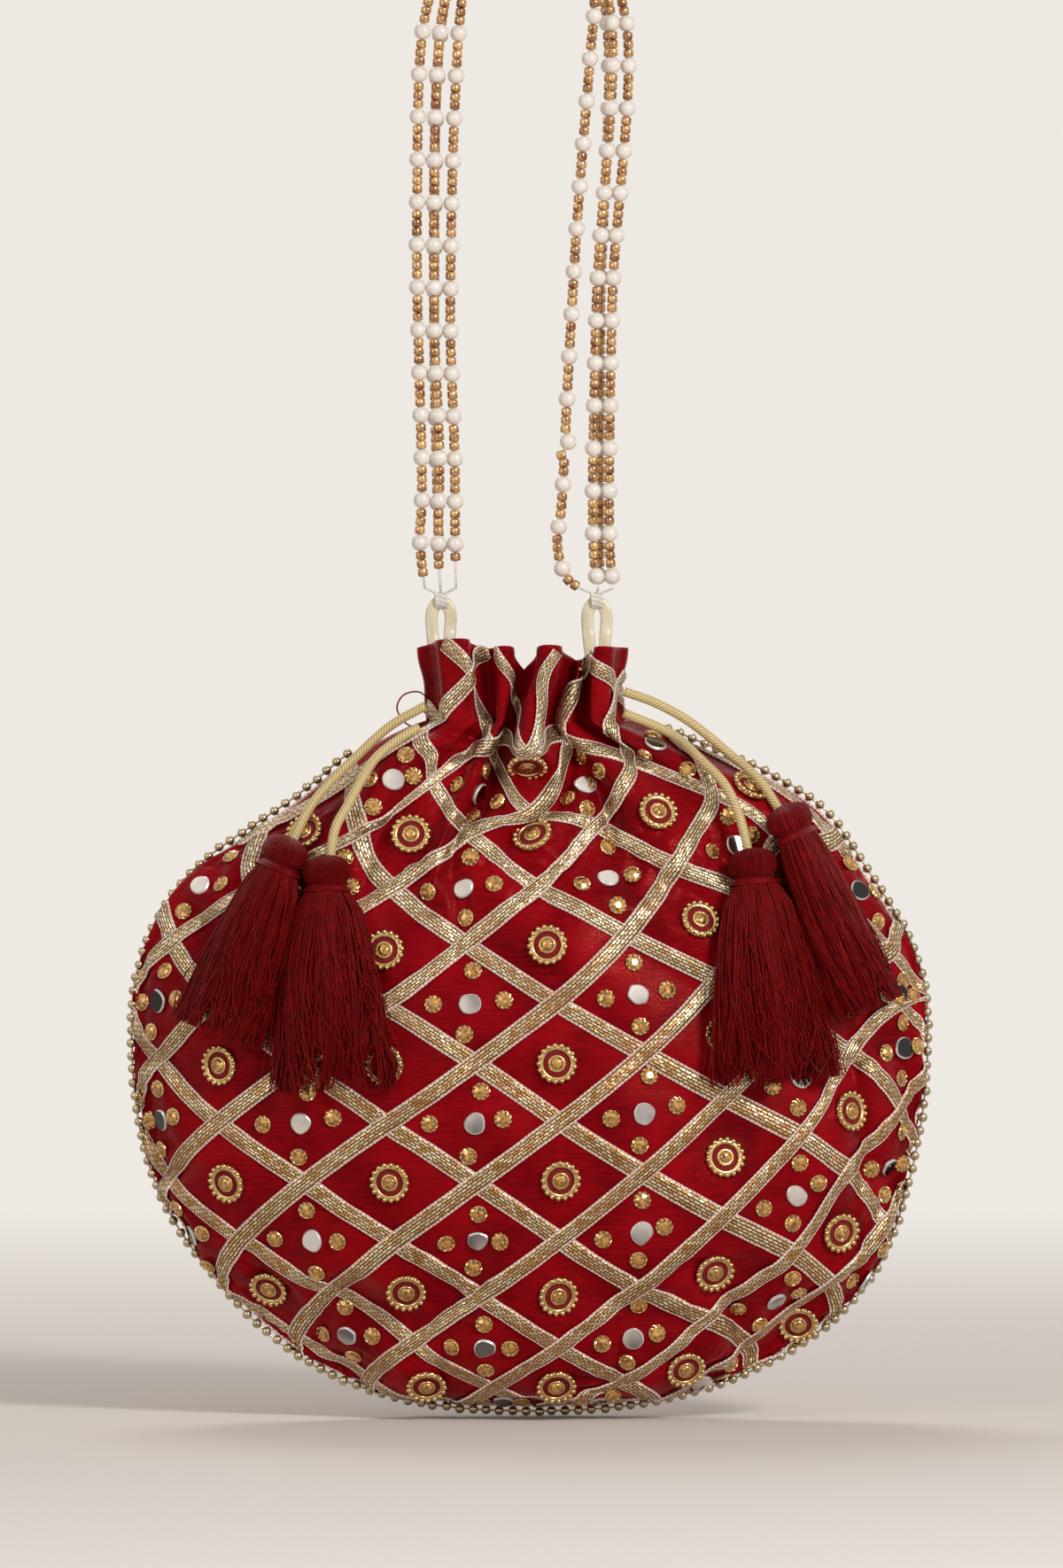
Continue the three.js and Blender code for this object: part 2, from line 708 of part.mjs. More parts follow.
// Handle strands: x, y and height of each point from the left loop, over the hold, to the right loop.
// The heights are drawn for a handle that stands strandReach over the loops, and follow when that changes.
const strandReach = 187;
const strandTop = holdHeight + strandDiameter / 2;
const strandHeight = (height) => strandTop - ((strandTop - height) * (holdHeight - loopTop)) / strandReach;
const strandRoutes = {
  1: [
    [-27.6, -2.2, 230.3], [-29, -2.5, 244], [-28.4, -2.5, 256], [-29.8, -2.5, 337], [-26.5, -4, 396],
    [-18, -6.6, 411], [0, -6.6, strandTop], [16, -6.8, 411],
    [20, -7.4, 398], [19, -5, 380], [15.5, -2.5, 336], [12.8, -2.5, 290], [11, -2.5, 254], [9.8, -2.5, 242], [12.5, -2.5, 233],
    [16.6, -2.4, 230],
  ],
  2: [
    [-23.2, -2.2, 230.3], [-23.8, -2.6, 241], [-23.5, -2.6, 268], [-25, -2.6, 310], [-22, -2.6, 396],
    [-16, -2.2, 411], [0, -2.2, strandTop], [16, -2.2, 411], [24.2, -2.6, 396], [20.8, -2.6, 310], [20, -2.6, 241],
    [21.2, -2.2, 230.3],
  ],
  3: [
    [-18.8, -1.4, 230.3], [-19, -1, 241], [-19.2, -1, 268], [-20.4, -1, 310], [-17.2, 0, 396],
    [-14, 2.2, 411], [0, 2.2, strandTop], [16, 2.6, 411], [28, 0.6, 396], [25.2, -1, 310], [24.6, -1, 241],
    [25.6, -1.4, 230.3],
  ],
  4: [
    [-23.2, 2.3, 230.3], [-23.6, 3, 241], [-25, 3.6, 310], [-22, 4, 396],
    [-16, 6.6, 411], [0, 6.8, strandTop], [16, 7.4, 411], [23, 5, 396], [22, 3.6, 310], [21.8, 3.2, 241],
    [21.4, 2.3, 230.3],
  ],
};
for (const [number, route] of Object.entries(strandRoutes)) {
  const points = route.map(([x, y, height]) => new THREE.Vector3(x, y, strandHeight(height) - holdHeight));
  add(`handle_strand_${number}`, cordGeometry(points, strandDiameter, 30), pearlBeads);
}

export default group;
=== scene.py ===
# A potli bag: a crimson satin pouch with a gold ribbon lattice, bead rings, small mirrors and stones, beaded edging,
# drawstrings with thread tassels, and a handle of pearl and seed-bead strands. Everything is in metres, front to -Y.
import math

import bmesh
import bpy
import numpy as np
from mathutils import Matrix, Vector


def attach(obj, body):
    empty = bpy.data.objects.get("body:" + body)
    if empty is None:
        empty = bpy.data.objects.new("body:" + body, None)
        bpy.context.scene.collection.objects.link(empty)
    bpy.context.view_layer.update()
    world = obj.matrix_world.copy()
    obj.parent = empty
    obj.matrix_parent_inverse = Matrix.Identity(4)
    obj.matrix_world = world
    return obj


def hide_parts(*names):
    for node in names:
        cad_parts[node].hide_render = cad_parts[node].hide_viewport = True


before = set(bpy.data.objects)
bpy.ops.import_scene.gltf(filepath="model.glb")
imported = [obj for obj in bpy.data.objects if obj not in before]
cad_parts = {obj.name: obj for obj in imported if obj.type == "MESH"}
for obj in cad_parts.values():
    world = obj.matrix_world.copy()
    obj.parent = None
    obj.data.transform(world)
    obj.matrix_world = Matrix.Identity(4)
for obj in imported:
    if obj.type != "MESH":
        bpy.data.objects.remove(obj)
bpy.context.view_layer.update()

# The view: the photograph looks level and straight on at the front through a long lens, and its height of 1770 pixels
# is 442.5 mm at the seam. The bag hangs just clear of a plain pale floor, in soft light from the right.
MM = 0.001
CAMERA_AWAY = 3.0
FRAME_HEIGHT = 442.5 * MM
VIEW_MIDDLE = Vector((2.5, 0, -240)) * MM
FLOOR_HEIGHT = -419 * MM
ROOM_PALENESS = "#efe9e3"
FLOOR_FADES_FROM, FLOOR_FADES_TO = 0.15, 1.6

scene = bpy.context.scene
scene.view_settings.view_transform = "Standard"
camera = bpy.data.objects.new("camera", bpy.data.cameras.new("camera"))
camera.data.sensor_width = 36
camera.data.lens = camera.data.sensor_width * CAMERA_AWAY / FRAME_HEIGHT
camera.location = VIEW_MIDDLE + Vector((0, -CAMERA_AWAY, 0))
camera.rotation_euler = (math.radians(90), 0, 0)
scene.collection.objects.link(camera)
scene.camera = camera


def linear(colour):
    """An sRGB hex colour as the linear values that a shader takes."""
    shares = [int(colour[k:k + 2], 16) / 255 for k in (1, 3, 5)]
    return [s / 12.92 if s <= 0.04045 else ((s + 0.055) / 1.055) ** 2.4 for s in shares] + [1]


def add_node(tree, kind, settings, inputs, to=None):
    """Adds a node with its own settings, sets or links its inputs, and may link its first output to a socket."""
    made = tree.nodes.new(kind)
    for name, value in settings.items():
        setattr(made, name, value)
    for name, value in inputs.items():
        if isinstance(value, bpy.types.NodeSocket):
            tree.links.new(value, made.inputs[name])
        else:
            made.inputs[name].default_value = value
    if to is not None:
        tree.links.new(made.outputs[0], to)
    return made


def new_material(name, colour, roughness, metallic=0.0, finish=None):
    """A material with its shader's plain values, and the tree, shader and coordinates to build on."""
    made = bpy.data.materials.new(name)
    made.use_nodes = True
    shader = made.node_tree.nodes["Principled BSDF"]
    values = {"Base Color": linear(colour), "Roughness": roughness, "Metallic": metallic, **(finish or {})}
    for socket, value in values.items():
        shader.inputs[socket].default_value = value
    return made, made.node_tree, shader, add_node(made.node_tree, "ShaderNodeTexCoord", {}, {})


def add_lamp(name, place, width, watts):
    """A square lamp that shines at the middle of the view."""
    lamp = bpy.data.objects.new(name, bpy.data.lights.new(name, "AREA"))
    lamp.data.size = width
    lamp.data.energy = watts
    lamp.location = place
    aim = VIEW_MIDDLE - Vector(place)
    lamp.rotation_euler = aim.to_track_quat("-Z", "Y").to_euler()
    scene.collection.objects.link(lamp)


add_lamp("key_lamp", (1.0, -1.5, 0.6), 0.45, 22)
add_lamp("fill_lamp", (-1.3, -1.3, 0.2), 1.0, 4.5)
add_lamp("rim_lamp", (-0.3, 1.2, 1.1), 0.8, 8)

world = bpy.data.worlds.new("pale_room")
world.use_nodes = True
scene.world = world
room = world.node_tree
room.nodes.clear()
seen = add_node(room, "ShaderNodeLightPath", {}, {})
seen_or_mirrored = add_node(
    room, "ShaderNodeMath", {"operation": "MAXIMUM"},
    {0: seen.outputs["Is Camera Ray"], 1: seen.outputs["Is Glossy Ray"]})
shows_room = add_node(
    room, "ShaderNodeMath", {"operation": "MAXIMUM"},
    {0: seen_or_mirrored.outputs[0], 1: seen.outputs["Is Transmission Ray"]})
room_light = add_node(room, "ShaderNodeBackground", {}, {"Color": linear("#f4ebe2"), "Strength": 0.28})
room_seen = add_node(room, "ShaderNodeBackground", {}, {"Color": linear(ROOM_PALENESS), "Strength": 1.0})
room_mix = add_node(
    room, "ShaderNodeMixShader", {},
    {0: shows_room.outputs[0], 1: room_light.outputs[0], 2: room_seen.outputs[0]})
add_node(room, "ShaderNodeOutputWorld", {}, {"Surface": room_mix.outputs[0]})

bpy.ops.mesh.primitive_circle_add(vertices=64, radius=4, fill_type="NGON", location=(0, 0, FLOOR_HEIGHT))
floor = bpy.context.object
floor.name = "floor"
# Matt paint, which far from the lamps is shown at the room's own paleness, so that the floor runs into the room.
floor_paint, tree, matt, coords = new_material("matt_painted_floor", "#eee8e2", 0.9)
distance = add_node(tree, "ShaderNodeVectorMath", {"operation": "LENGTH"}, {0: coords.outputs["Object"]})
far = add_node(
    tree, "ShaderNodeMapRange", {"interpolation_type": "SMOOTHSTEP"},
    {"Value": distance.outputs["Value"], "From Min": FLOOR_FADES_FROM, "From Max": FLOOR_FADES_TO})
seen = add_node(tree, "ShaderNodeLightPath", {}, {})
far_and_seen = add_node(
    tree, "ShaderNodeMath", {"operation": "MULTIPLY"}, {0: far.outputs[0], 1: seen.outputs["Is Camera Ray"]})
pale = add_node(tree, "ShaderNodeEmission", {}, {"Color": linear(ROOM_PALENESS), "Strength": 1.0})
add_node(
    tree, "ShaderNodeMixShader", {}, {0: far_and_seen.outputs[0], 1: matt.outputs[0], 2: pale.outputs[0]},
    tree.nodes["Material Output"].inputs["Surface"])
floor.data.materials.append(floor_paint)

# The bag's form, which everything else lies on: two panels cut wider than they hang, seamed round the edge, puffed
# by what they hold and gathered at the neck. A place on the cloth is told by its share across, and millimetres up.
HOLD_HEIGHT = 415
BAG_WIDTH = 221
BELLY_HEIGHT = 109
CHANNEL_HEIGHT = 193
BAG_DEPTH = 68
DEEPEST_HEIGHT = 85
SEAM_GAP = 0.4
OUTLINE_ROUNDNESS = 2.4
SHOULDER_ROUNDNESS = 0.85
NECK_WIDTH = 55
NECK_DEPTH = 22
RUFFLE_HEIGHT = 23
RUFFLE_FLARE = 2
FLAT_WIDTH = 266
FLAT_NECK_WIDTH = 156
FLAT_BOTTOM_DROP = 24
FLAT_NECK_RISE = 5
CHANNEL_UP = CHANNEL_HEIGHT + FLAT_NECK_RISE
TOP_UP = CHANNEL_UP + RUFFLE_HEIGHT
BODY_ROUNDNESS, NECK_ROUNDNESS = 0.72, 0.5

# The bag hangs a little to the right, leans at its shoulder and its foot (by how much, about which height, and over
# how much of it), and its cloth has slid further right over the belly
BAG_OFFSET = 2
SHOULDER_LEAN = (8, 170, 15)
FOOT_LEAN = (4, 30, 25)
CLOTH_OFFSET = 7
CLOTH_OFFSET_FADES = (95, 165)

# The gathers: how deep and full the folds are, how far they roll sideways and how far down they reach
GATHER_DEPTH = 6.5
GATHER_BASE = 0.9
FOLD_FULLNESS = 0.65
FOLD_ROLL = 0.09
GATHER_REACH = 30
SAG_REACH = 6.5
DIP_REACH = 16

# The neck's five folds, left to right: their edges across at the casing and at the ruffle's top, how far each stands
# out below and above the casing, how far its top edge and the creases between lie under the highest one, and how far
# it sags over the casing
CASING_EDGES = np.array([-1, -0.31, -0.16, 0.27, 0.56, 1])
RUFFLE_EDGES = np.array([-1, -0.34, 0.01, 0.5, 0.57, 1])
FOLDS_BELOW = np.array([1, 0.7, 0.8, 0.6, 0.95])
FOLDS_ABOVE = np.array([1, 0.65, 1.3, 0.5, 0.95])
FOLD_TOPS = np.array([0, 2.2, 2.0, 6.2, 2])
CREASE_TOPS = np.array([0.5, 3, 9, 6, 6, 1.5])
FOLD_SAGS = np.array([1.5, 1, 4.5, 1.5, 2])
CORNER_DROP = 2.6
EDGE_SWAY = 0.45
SMALL_CREASES = 0.4
FITTING_STEPS = 14


def hump(value, size, centre, reach):
    """A rounded rise of this size about a centre."""
    return size * np.exp(-((value - centre) / reach) ** 2)


def smooth(start, end, value):
    """A smooth step from 0 at the start to 1 at the end."""
    share = np.clip((value - start) / (end - start), 0, 1)
    return share * share * (3 - 2 * share)


def half_width(height):
    """How far the side seam hangs from the middle at a height."""
    widest, neck = BAG_WIDTH / 2, NECK_WIDTH / 2
    below = np.clip((BELLY_HEIGHT - height) / BELLY_HEIGHT, 0, 1)
    foot = widest * (1 - below ** OUTLINE_ROUNDNESS) ** (1 / OUTLINE_ROUNDNESS)
    above = np.clip((height - BELLY_HEIGHT) / (CHANNEL_HEIGHT - BELLY_HEIGHT), 0, 1)
    shoulder = neck + (widest - neck) * (1 - above ** 2) ** SHOULDER_ROUNDNESS
    ruffle = neck + RUFFLE_FLARE * (height - CHANNEL_HEIGHT) / RUFFLE_HEIGHT
    return np.where(height <= BELLY_HEIGHT, foot, np.where(height >= CHANNEL_HEIGHT, ruffle, shoulder))


def middle(height):
    """Where the middle between the two seams lies at a height."""
    lean = hump(height, *SHOULDER_LEAN) + hump(height, *FOOT_LEAN)
    return BAG_OFFSET * (1 - smooth(BELLY_HEIGHT, CHANNEL_HEIGHT, height)) + lean


def puff_at(x, height):
    """How far out from the seam's plane the cloth stands before it is gathered."""
    deepest, neck = BAG_DEPTH / 2, NECK_DEPTH / 2
    below = np.clip((DEEPEST_HEIGHT - height) / DEEPEST_HEIGHT, 0, 1)
    above = np.clip((height - DEEPEST_HEIGHT) / (CHANNEL_HEIGHT - DEEPEST_HEIGHT), 0, 1)
    shoulder = neck + (deepest - neck) * (1 - above ** 2) ** SHOULDER_ROUNDNESS
    flare = RUFFLE_FLARE * np.maximum(0, height - CHANNEL_HEIGHT) / RUFFLE_HEIGHT
    puff = np.where(height <= DEEPEST_HEIGHT, deepest * np.sqrt(1 - below ** 2), shoulder + flare)
    across = (x - middle(height)) / np.maximum(0.001, half_width(height))
    to_neck = smooth(BELLY_HEIGHT, CHANNEL_HEIGHT, height)
    roundness = BODY_ROUNDNESS + (NECK_ROUNDNESS - BODY_ROUNDNESS) * to_neck
    return puff * np.maximum(0, 1 - across ** 2) ** roundness


def cloth_half_width(up):
    """How far the flat panel's edge is from its middle."""
    widest, neck = FLAT_WIDTH / 2, FLAT_NECK_WIDTH / 2
    below = np.clip((BELLY_HEIGHT - up) / (BELLY_HEIGHT + FLAT_BOTTOM_DROP), 0, 1)
    foot = widest * (1 - below ** OUTLINE_ROUNDNESS) ** (1 / OUTLINE_ROUNDNESS)
    above = np.clip((up - BELLY_HEIGHT) / (CHANNEL_UP - BELLY_HEIGHT), 0, 1)
    return np.where(up <= BELLY_HEIGHT, foot, neck + (widest - neck) * (1 - above ** 2) ** SHOULDER_ROUNDNESS)


def cloth_height(up):
    """How high a level line of the flat panel hangs: its foot is drawn in under the bag."""
    full_drop = BELLY_HEIGHT + FLAT_BOTTOM_DROP
    below = np.maximum(0, BELLY_HEIGHT - up) / full_drop
    stretch = full_drop / BELLY_HEIGHT
    foot = BELLY_HEIGHT * (1 - stretch * below + (stretch - 1) * below ** 5)
    above = np.clip((up - BELLY_HEIGHT) / (CHANNEL_UP - BELLY_HEIGHT), 0, 1)
    return np.where(up <= BELLY_HEIGHT, foot, up - FLAT_NECK_RISE * above ** 3)


def gathers(across, up):
    """How far out the cloth stands, its lean sideways in shares of the neck, and how far it sags or dips."""
    to_ruffle = smooth(CHANNEL_HEIGHT, CHANNEL_HEIGHT + RUFFLE_HEIGHT, up)[..., None]
    edges = CASING_EDGES + (RUFFLE_EDGES - CASING_EDGES) * to_ruffle
    fold = np.clip((across[..., None] >= edges).sum(axis=-1) - 1, 0, len(FOLDS_ABOVE) - 1)
    left = np.take_along_axis(edges, fold[..., None], -1)[..., 0]
    width = np.take_along_axis(edges, fold[..., None] + 1, -1)[..., 0] - left
    share = (across - left) / width
    crest = ((1 - np.cos(2 * np.pi * share)) / 2) ** FOLD_FULLNESS
    over_casing = smooth(CHANNEL_HEIGHT - 11, CHANNEL_HEIGHT - 1, up)
    rise = crest * (FOLDS_BELOW[fold] + (FOLDS_ABOVE - FOLDS_BELOW)[fold] * over_casing)
    crease = CREASE_TOPS[fold] + (CREASE_TOPS[fold + 1] - CREASE_TOPS[fold]) * smooth(0.2, 0.8, share)
    dip = smooth(TOP_UP - DIP_REACH, TOP_UP, up) * (crease + (FOLD_TOPS[fold] - crease) * crest ** 0.6)
    sag = FOLD_SAGS[fold] * crest * hump(up, 1, CHANNEL_HEIGHT, SAG_REACH)
    return rise, width * np.sin(4 * np.pi * share) / 2, dip + sag


def panel_place(side, across, up):
    """Places in millimetres on the outer face of the front panel (side -1) or the back one (side 1)."""
    across, up = np.broadcast_arrays(np.asarray(across, float), np.asarray(up, float))
    edge_fade = 1 - across ** 8
    height = np.maximum(0, cloth_height(up))
    half, centre = half_width(height), middle(height)
    bulge = 1 + (FLAT_WIDTH / BAG_WIDTH - 1) * (1 - smooth(BELLY_HEIGHT, CHANNEL_HEIGHT, height))
    even = bulge * across - (bulge - 1) * across ** 5
    cloth_middle = CLOTH_OFFSET * (1 - smooth(*CLOTH_OFFSET_FADES, height))
    shift = (cloth_middle - centre) * (1 - across ** 2) ** 2 * np.minimum(1, 2 * half / NECK_WIDTH)
    base_x = centre + half * even + shift
    rise, roll, sink = gathers(across, up)
    strength = np.exp(-(np.maximum(0, CHANNEL_UP - up) / GATHER_REACH) ** 1.4)
    x = base_x + FOLD_ROLL * NECK_WIDTH * roll * strength * edge_fade
    depth = puff_at(base_x, height) + GATHER_DEPTH * (2 * rise - GATHER_BASE) * strength * edge_fade
    ruffled = smooth(CHANNEL_HEIGHT, CHANNEL_HEIGHT + 8, up)
    x = x + EDGE_SWAY * np.sin((up - CHANNEL_HEIGHT) * 0.3) * across ** 7 * ruffled
    depth = depth + SMALL_CREASES * np.sin(31 * across + 0.12 * up) * ruffled * edge_fade
    corner = CORNER_DROP * across ** 6 * smooth(TOP_UP - DIP_REACH, TOP_UP, up)
    y = side * (SEAM_GAP / 2 + np.maximum(0, depth))
    return np.stack([x, y, height - corner - sink * edge_fade - HOLD_HEIGHT], axis=-1)


def on_front(x, height, raised):
    """Points in millimetres that stand the given distance in front of the cloth."""
    x, height, raised = np.broadcast_arrays(*[np.asarray(v, float) for v in (x, height, raised)])
    across = (x - middle(height)) / half_width(height)
    up = height.copy()
    for _ in range(FITTING_STEPS):
        across = np.clip(across, -0.999, 0.999)
        here = panel_place(-1, across, up)
        across = across + 0.7 * (x - here[..., 0]) / (half_width(height) + 10)
        up = up + 0.7 * (height - (here[..., 2] + HOLD_HEIGHT))
    here = panel_place(-1, np.clip(across, -0.999, 0.999), up)
    return np.stack([x, here[..., 1] - raised, height - HOLD_HEIGHT], axis=-1)


# Two drawstrings of satin rattail cord, 2.7 mm thick, run in the neck's casing and come out at its two sides. Each of
# the four ends lies over the shoulder to its tassel. Rattail is a woven satin tube, so its fine ribs run slantwise.
DRAWSTRING_DIAMETER = 2.7
RAISED_AT_CASING, RAISED_OVER_SHOULDER = 6.1, 6.3
REACH_INTO_TASSEL = 14
DRAWSTRINGS = {
    "left_outer": [(-27.4, 197), (-37, 191.5), (-46.5, 183), (-54.5, 175), (-60, 168)],
    "left_inner": [(-29.2, 191), (-35, 187.4), (-41, 182.5), (-45, 176.5), (-49, 169), (-52.6, 162)],
    "right_inner": [(28.4, 195), (42, 189), (50, 181.8), (56.8, 174.5), (61, 165)],
    "right_outer": [(28.6, 201), (37, 198), (47, 192.5), (58, 183.6), (66.5, 176)],
}
TASSELS = {
    "left_outer": {"top": (-65, 160), "foot": (-85, 107), "fan": 24, "raised": 2.4},
    "left_inner": {"top": (-55, 155), "foot": (-53, 92), "fan": 33, "raised": 2.2},
    "right_inner": {"top": (64, 157), "foot": (70.5, 94), "fan": 33, "raised": 2.9},
    "right_outer": {"top": (73, 169), "foot": (97, 114), "fan": 18, "raised": 2.6},
}
TASSEL_NECK = 10.4
BINDING_THICKNESS = 0.8


def line_through(points, steps=12):
    """The smooth line that runs through the points, closely stepped."""
    points = np.asarray(points, float)
    points = np.vstack([2 * points[0] - points[1], points, 2 * points[-1] - points[-2]])
    line = []
    for k in range(1, len(points) - 2):
        before, start, end, after = points[k - 1:k + 3]
        gaps = [max(1e-6, np.linalg.norm(b - a)) ** 0.5 for a, b in ((before, start), (start, end), (end, after))]
        leave = (start - before) / gaps[0] - (end - before) / (gaps[0] + gaps[1]) + (end - start) / gaps[1]
        arrive = (end - start) / gaps[1] - (after - start) / (gaps[1] + gaps[2]) + (after - end) / gaps[2]
        share = np.linspace(0, 1, steps, endpoint=False)[:, None]
        line.append(
            start * (2 * share ** 3 - 3 * share ** 2 + 1) + end * (3 * share ** 2 - 2 * share ** 3)
            + leave * gaps[1] * (share ** 3 - 2 * share ** 2 + share) + arrive * gaps[1] * (share ** 3 - share ** 2))
    return np.vstack(line + [points[-2:-1]])


def along(line):
    """How far each point of a line is from its start."""
    return np.concatenate([[0], np.cumsum(np.linalg.norm(np.diff(line, axis=0), axis=1))])


def at_distances(line, distances):
    """The points of a line that are so far from its start."""
    return np.stack([np.interp(distances, along(line), line[:, k]) for k in range(3)], axis=1)


def finished(bm, name):
    """The mesh that a bmesh makes; the bmesh is used up."""
    mesh = bpy.data.meshes.new(name)
    bm.to_mesh(mesh)
    bm.free()
    return mesh


def grid_mesh(points):
    """A mesh whose faces join a grid of points in millimetres, and the row and column of each of its corners."""
    rows, columns = points.shape[:2]
    bm = bmesh.new()
    bmesh.ops.create_grid(bm, x_segments=columns - 1, y_segments=rows - 1, size=1)
    mesh = finished(bm, "grid")
    flat = np.empty(rows * columns * 3)
    mesh.vertices.foreach_get("co", flat)
    flat = flat.reshape(-1, 3)
    column = np.rint((flat[:, 0] + 1) / 2 * (columns - 1)).astype(int)
    row = np.rint((flat[:, 1] + 1) / 2 * (rows - 1)).astype(int)
    mesh.vertices.foreach_set("co", (points[row, column] * MM).ravel())
    return mesh, row, column


def mesh_from_grid(points, uv, round_about=False):
    """A grid's mesh with a UV map; uv is in millimetres of the real cloth or cord."""
    mesh, row, column = grid_mesh(points)
    corner = np.empty(len(mesh.loops), dtype=int)
    mesh.loops.foreach_get("vertex_index", corner)
    layer = mesh.uv_layers.new(name="UVMap")
    layer.data.foreach_set("uv", (uv[row, column][corner] * MM).ravel())
    mesh.update()
    if round_about:
        bm = bmesh.new()
        bm.from_mesh(mesh)
        bmesh.ops.remove_doubles(bm, verts=bm.verts, dist=1e-7)
        bmesh.ops.holes_fill(bm, edges=bm.edges, sides=0)
        bmesh.ops.recalc_face_normals(bm, faces=bm.faces)
        bm.to_mesh(mesh)
        bm.free()
    return mesh


def directions(line):
    """Each point's way forward and one steady way aside, turning as little as the line allows."""
    forward = np.gradient(line, axis=0)
    forward /= np.maximum(1e-9, np.linalg.norm(forward, axis=1))[:, None]
    aside = np.empty_like(forward)
    start = np.array([0, 1, 0]) if abs(forward[0][1]) < 0.9 else np.array([1, 0, 0])
    for k, way in enumerate(forward):
        start = start - way * np.dot(start, way)
        start = start / np.linalg.norm(start)
        aside[k] = start
    return forward, aside


def tube(line, radius, sides=12):
    """A round cord's mesh along a line in millimetres; radius may differ from point to point."""
    forward, aside = directions(line)
    third = np.cross(forward, aside)
    turn = np.linspace(0, 2 * np.pi, sides + 1)
    radius = np.broadcast_to(radius, len(line))[:, None, None]
    ring = aside[:, None, :] * np.cos(turn)[None, :, None] + third[:, None, :] * np.sin(turn)[None, :, None]
    points = line[:, None, :] + radius * ring
    points[:, -1] = points[:, 0]
    uv = np.stack(np.broadcast_arrays(
        radius[:, :, 0] * turn[None, :], along(line)[:, None]), axis=-1)
    return mesh_from_grid(points, uv, round_about=True)


def joined(meshes):
    """One mesh from several, keeping their UV maps; the several are used up."""
    bm = bmesh.new()
    for mesh in meshes:
        bm.from_mesh(mesh)
        bpy.data.meshes.remove(mesh)
    return finished(bm, "joined")


def piece(name, mesh, materials, stands_for=(), rounded=True):
    """Puts a finished mesh on the bag's body, shaded as rounded or as cut in facets."""
    made = bpy.data.objects.new(name, mesh)
    scene.collection.objects.link(made)
    for material in materials:
        mesh.materials.append(material)
    mesh.polygons.foreach_set("use_smooth", np.full(len(mesh.polygons), rounded))
    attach(made, "root")
    if stands_for:
        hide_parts(*stands_for)
    return made


def bands_apart(pitch):
    """The scale of a wave texture whose bands lie so many millimetres apart."""
    return 2 * math.pi / (20 * pitch * MM)


def tassel_axis(tassel, above):
    """The point of a tassel's middle line that is so far above its head's top."""
    raised = tassel["raised"] + BINDING_THICKNESS + TASSEL_NECK / 2
    top, foot = np.array(tassel["top"]), np.array(tassel["foot"])
    point = on_front(*top, raised)
    way = (top - foot) / np.linalg.norm(top - foot)
    return point + above * np.array([way[0], 0, way[1]])


# Woven satin tube: cream-gold, a soft sheen along the light, with slanting ribs, drawn 0.8 mm apart so that they show,
# painted darker in the grooves and lighter on the ribs, a painted shade and highlight.
rattail, tree, shader, coords = new_material(
    "woven_satin_rattail", "#d3b673", 0.42, finish={"Sheen Weight": 0.3, "Sheen Tint": linear("#fff2cf")})
slant = add_node(
    tree, "ShaderNodeMapping", {},
    {"Vector": coords.outputs["UV"], "Rotation": (0, 0, math.radians(35))})
ribs = add_node(
    tree, "ShaderNodeTexWave", {"wave_type": "BANDS", "bands_direction": "Y"},
    {"Vector": slant.outputs[0], "Scale": bands_apart(0.8), "Distortion": 1.5, "Detail": 2.0})
# Painted shade and highlight: darker in the grooves between the ribs, lighter on them.
add_node(
    tree, "ShaderNodeMixRGB", {},
    {"Fac": ribs.outputs["Fac"], "Color1": linear("#b08f4c"), "Color2": linear("#ecd9a4")},
    shader.inputs["Base Color"])
add_node(
    tree, "ShaderNodeBump", {}, {"Height": ribs.outputs["Fac"], "Strength": 0.5, "Distance": 0.15 * MM},
    shader.inputs["Normal"])

drawstring_lines = {}
for name, route in DRAWSTRINGS.items():
    raised = [RAISED_AT_CASING] + [RAISED_OVER_SHOULDER] * (len(route) - 1)
    points = [on_front(x, height, r + DRAWSTRING_DIAMETER / 2) for (x, height), r in zip(route, raised)]
    points.append(tassel_axis(TASSELS[name], -REACH_INTO_TASSEL))
    line = line_through(points, 10)
    drawstring_lines[name] = line
    piece(
        "drawstring_cord_" + name, tube(line, DRAWSTRING_DIAMETER / 2, 14), [rattail],
        ["drawstring_" + name])

# Handle: four strands, each threaded with one pearl and three seed beads in turn, from the left satin loop over the
# hold to the right one. Strand 1 hangs slacker on the right. The seeds are silver-lined amber glass.
PEARL_RADIUS = 2.4
SEED_RADIUS = 1.5
SEED_LENGTH = 2.35
PEARL_LENGTH = 4.65
BEAD_THREAD_RADIUS = 0.35
BEAD_GAP = 0.08
BEADS_IN_TURN = 4
BEAD_TILT = 0.05
STRAND_TOP = 417

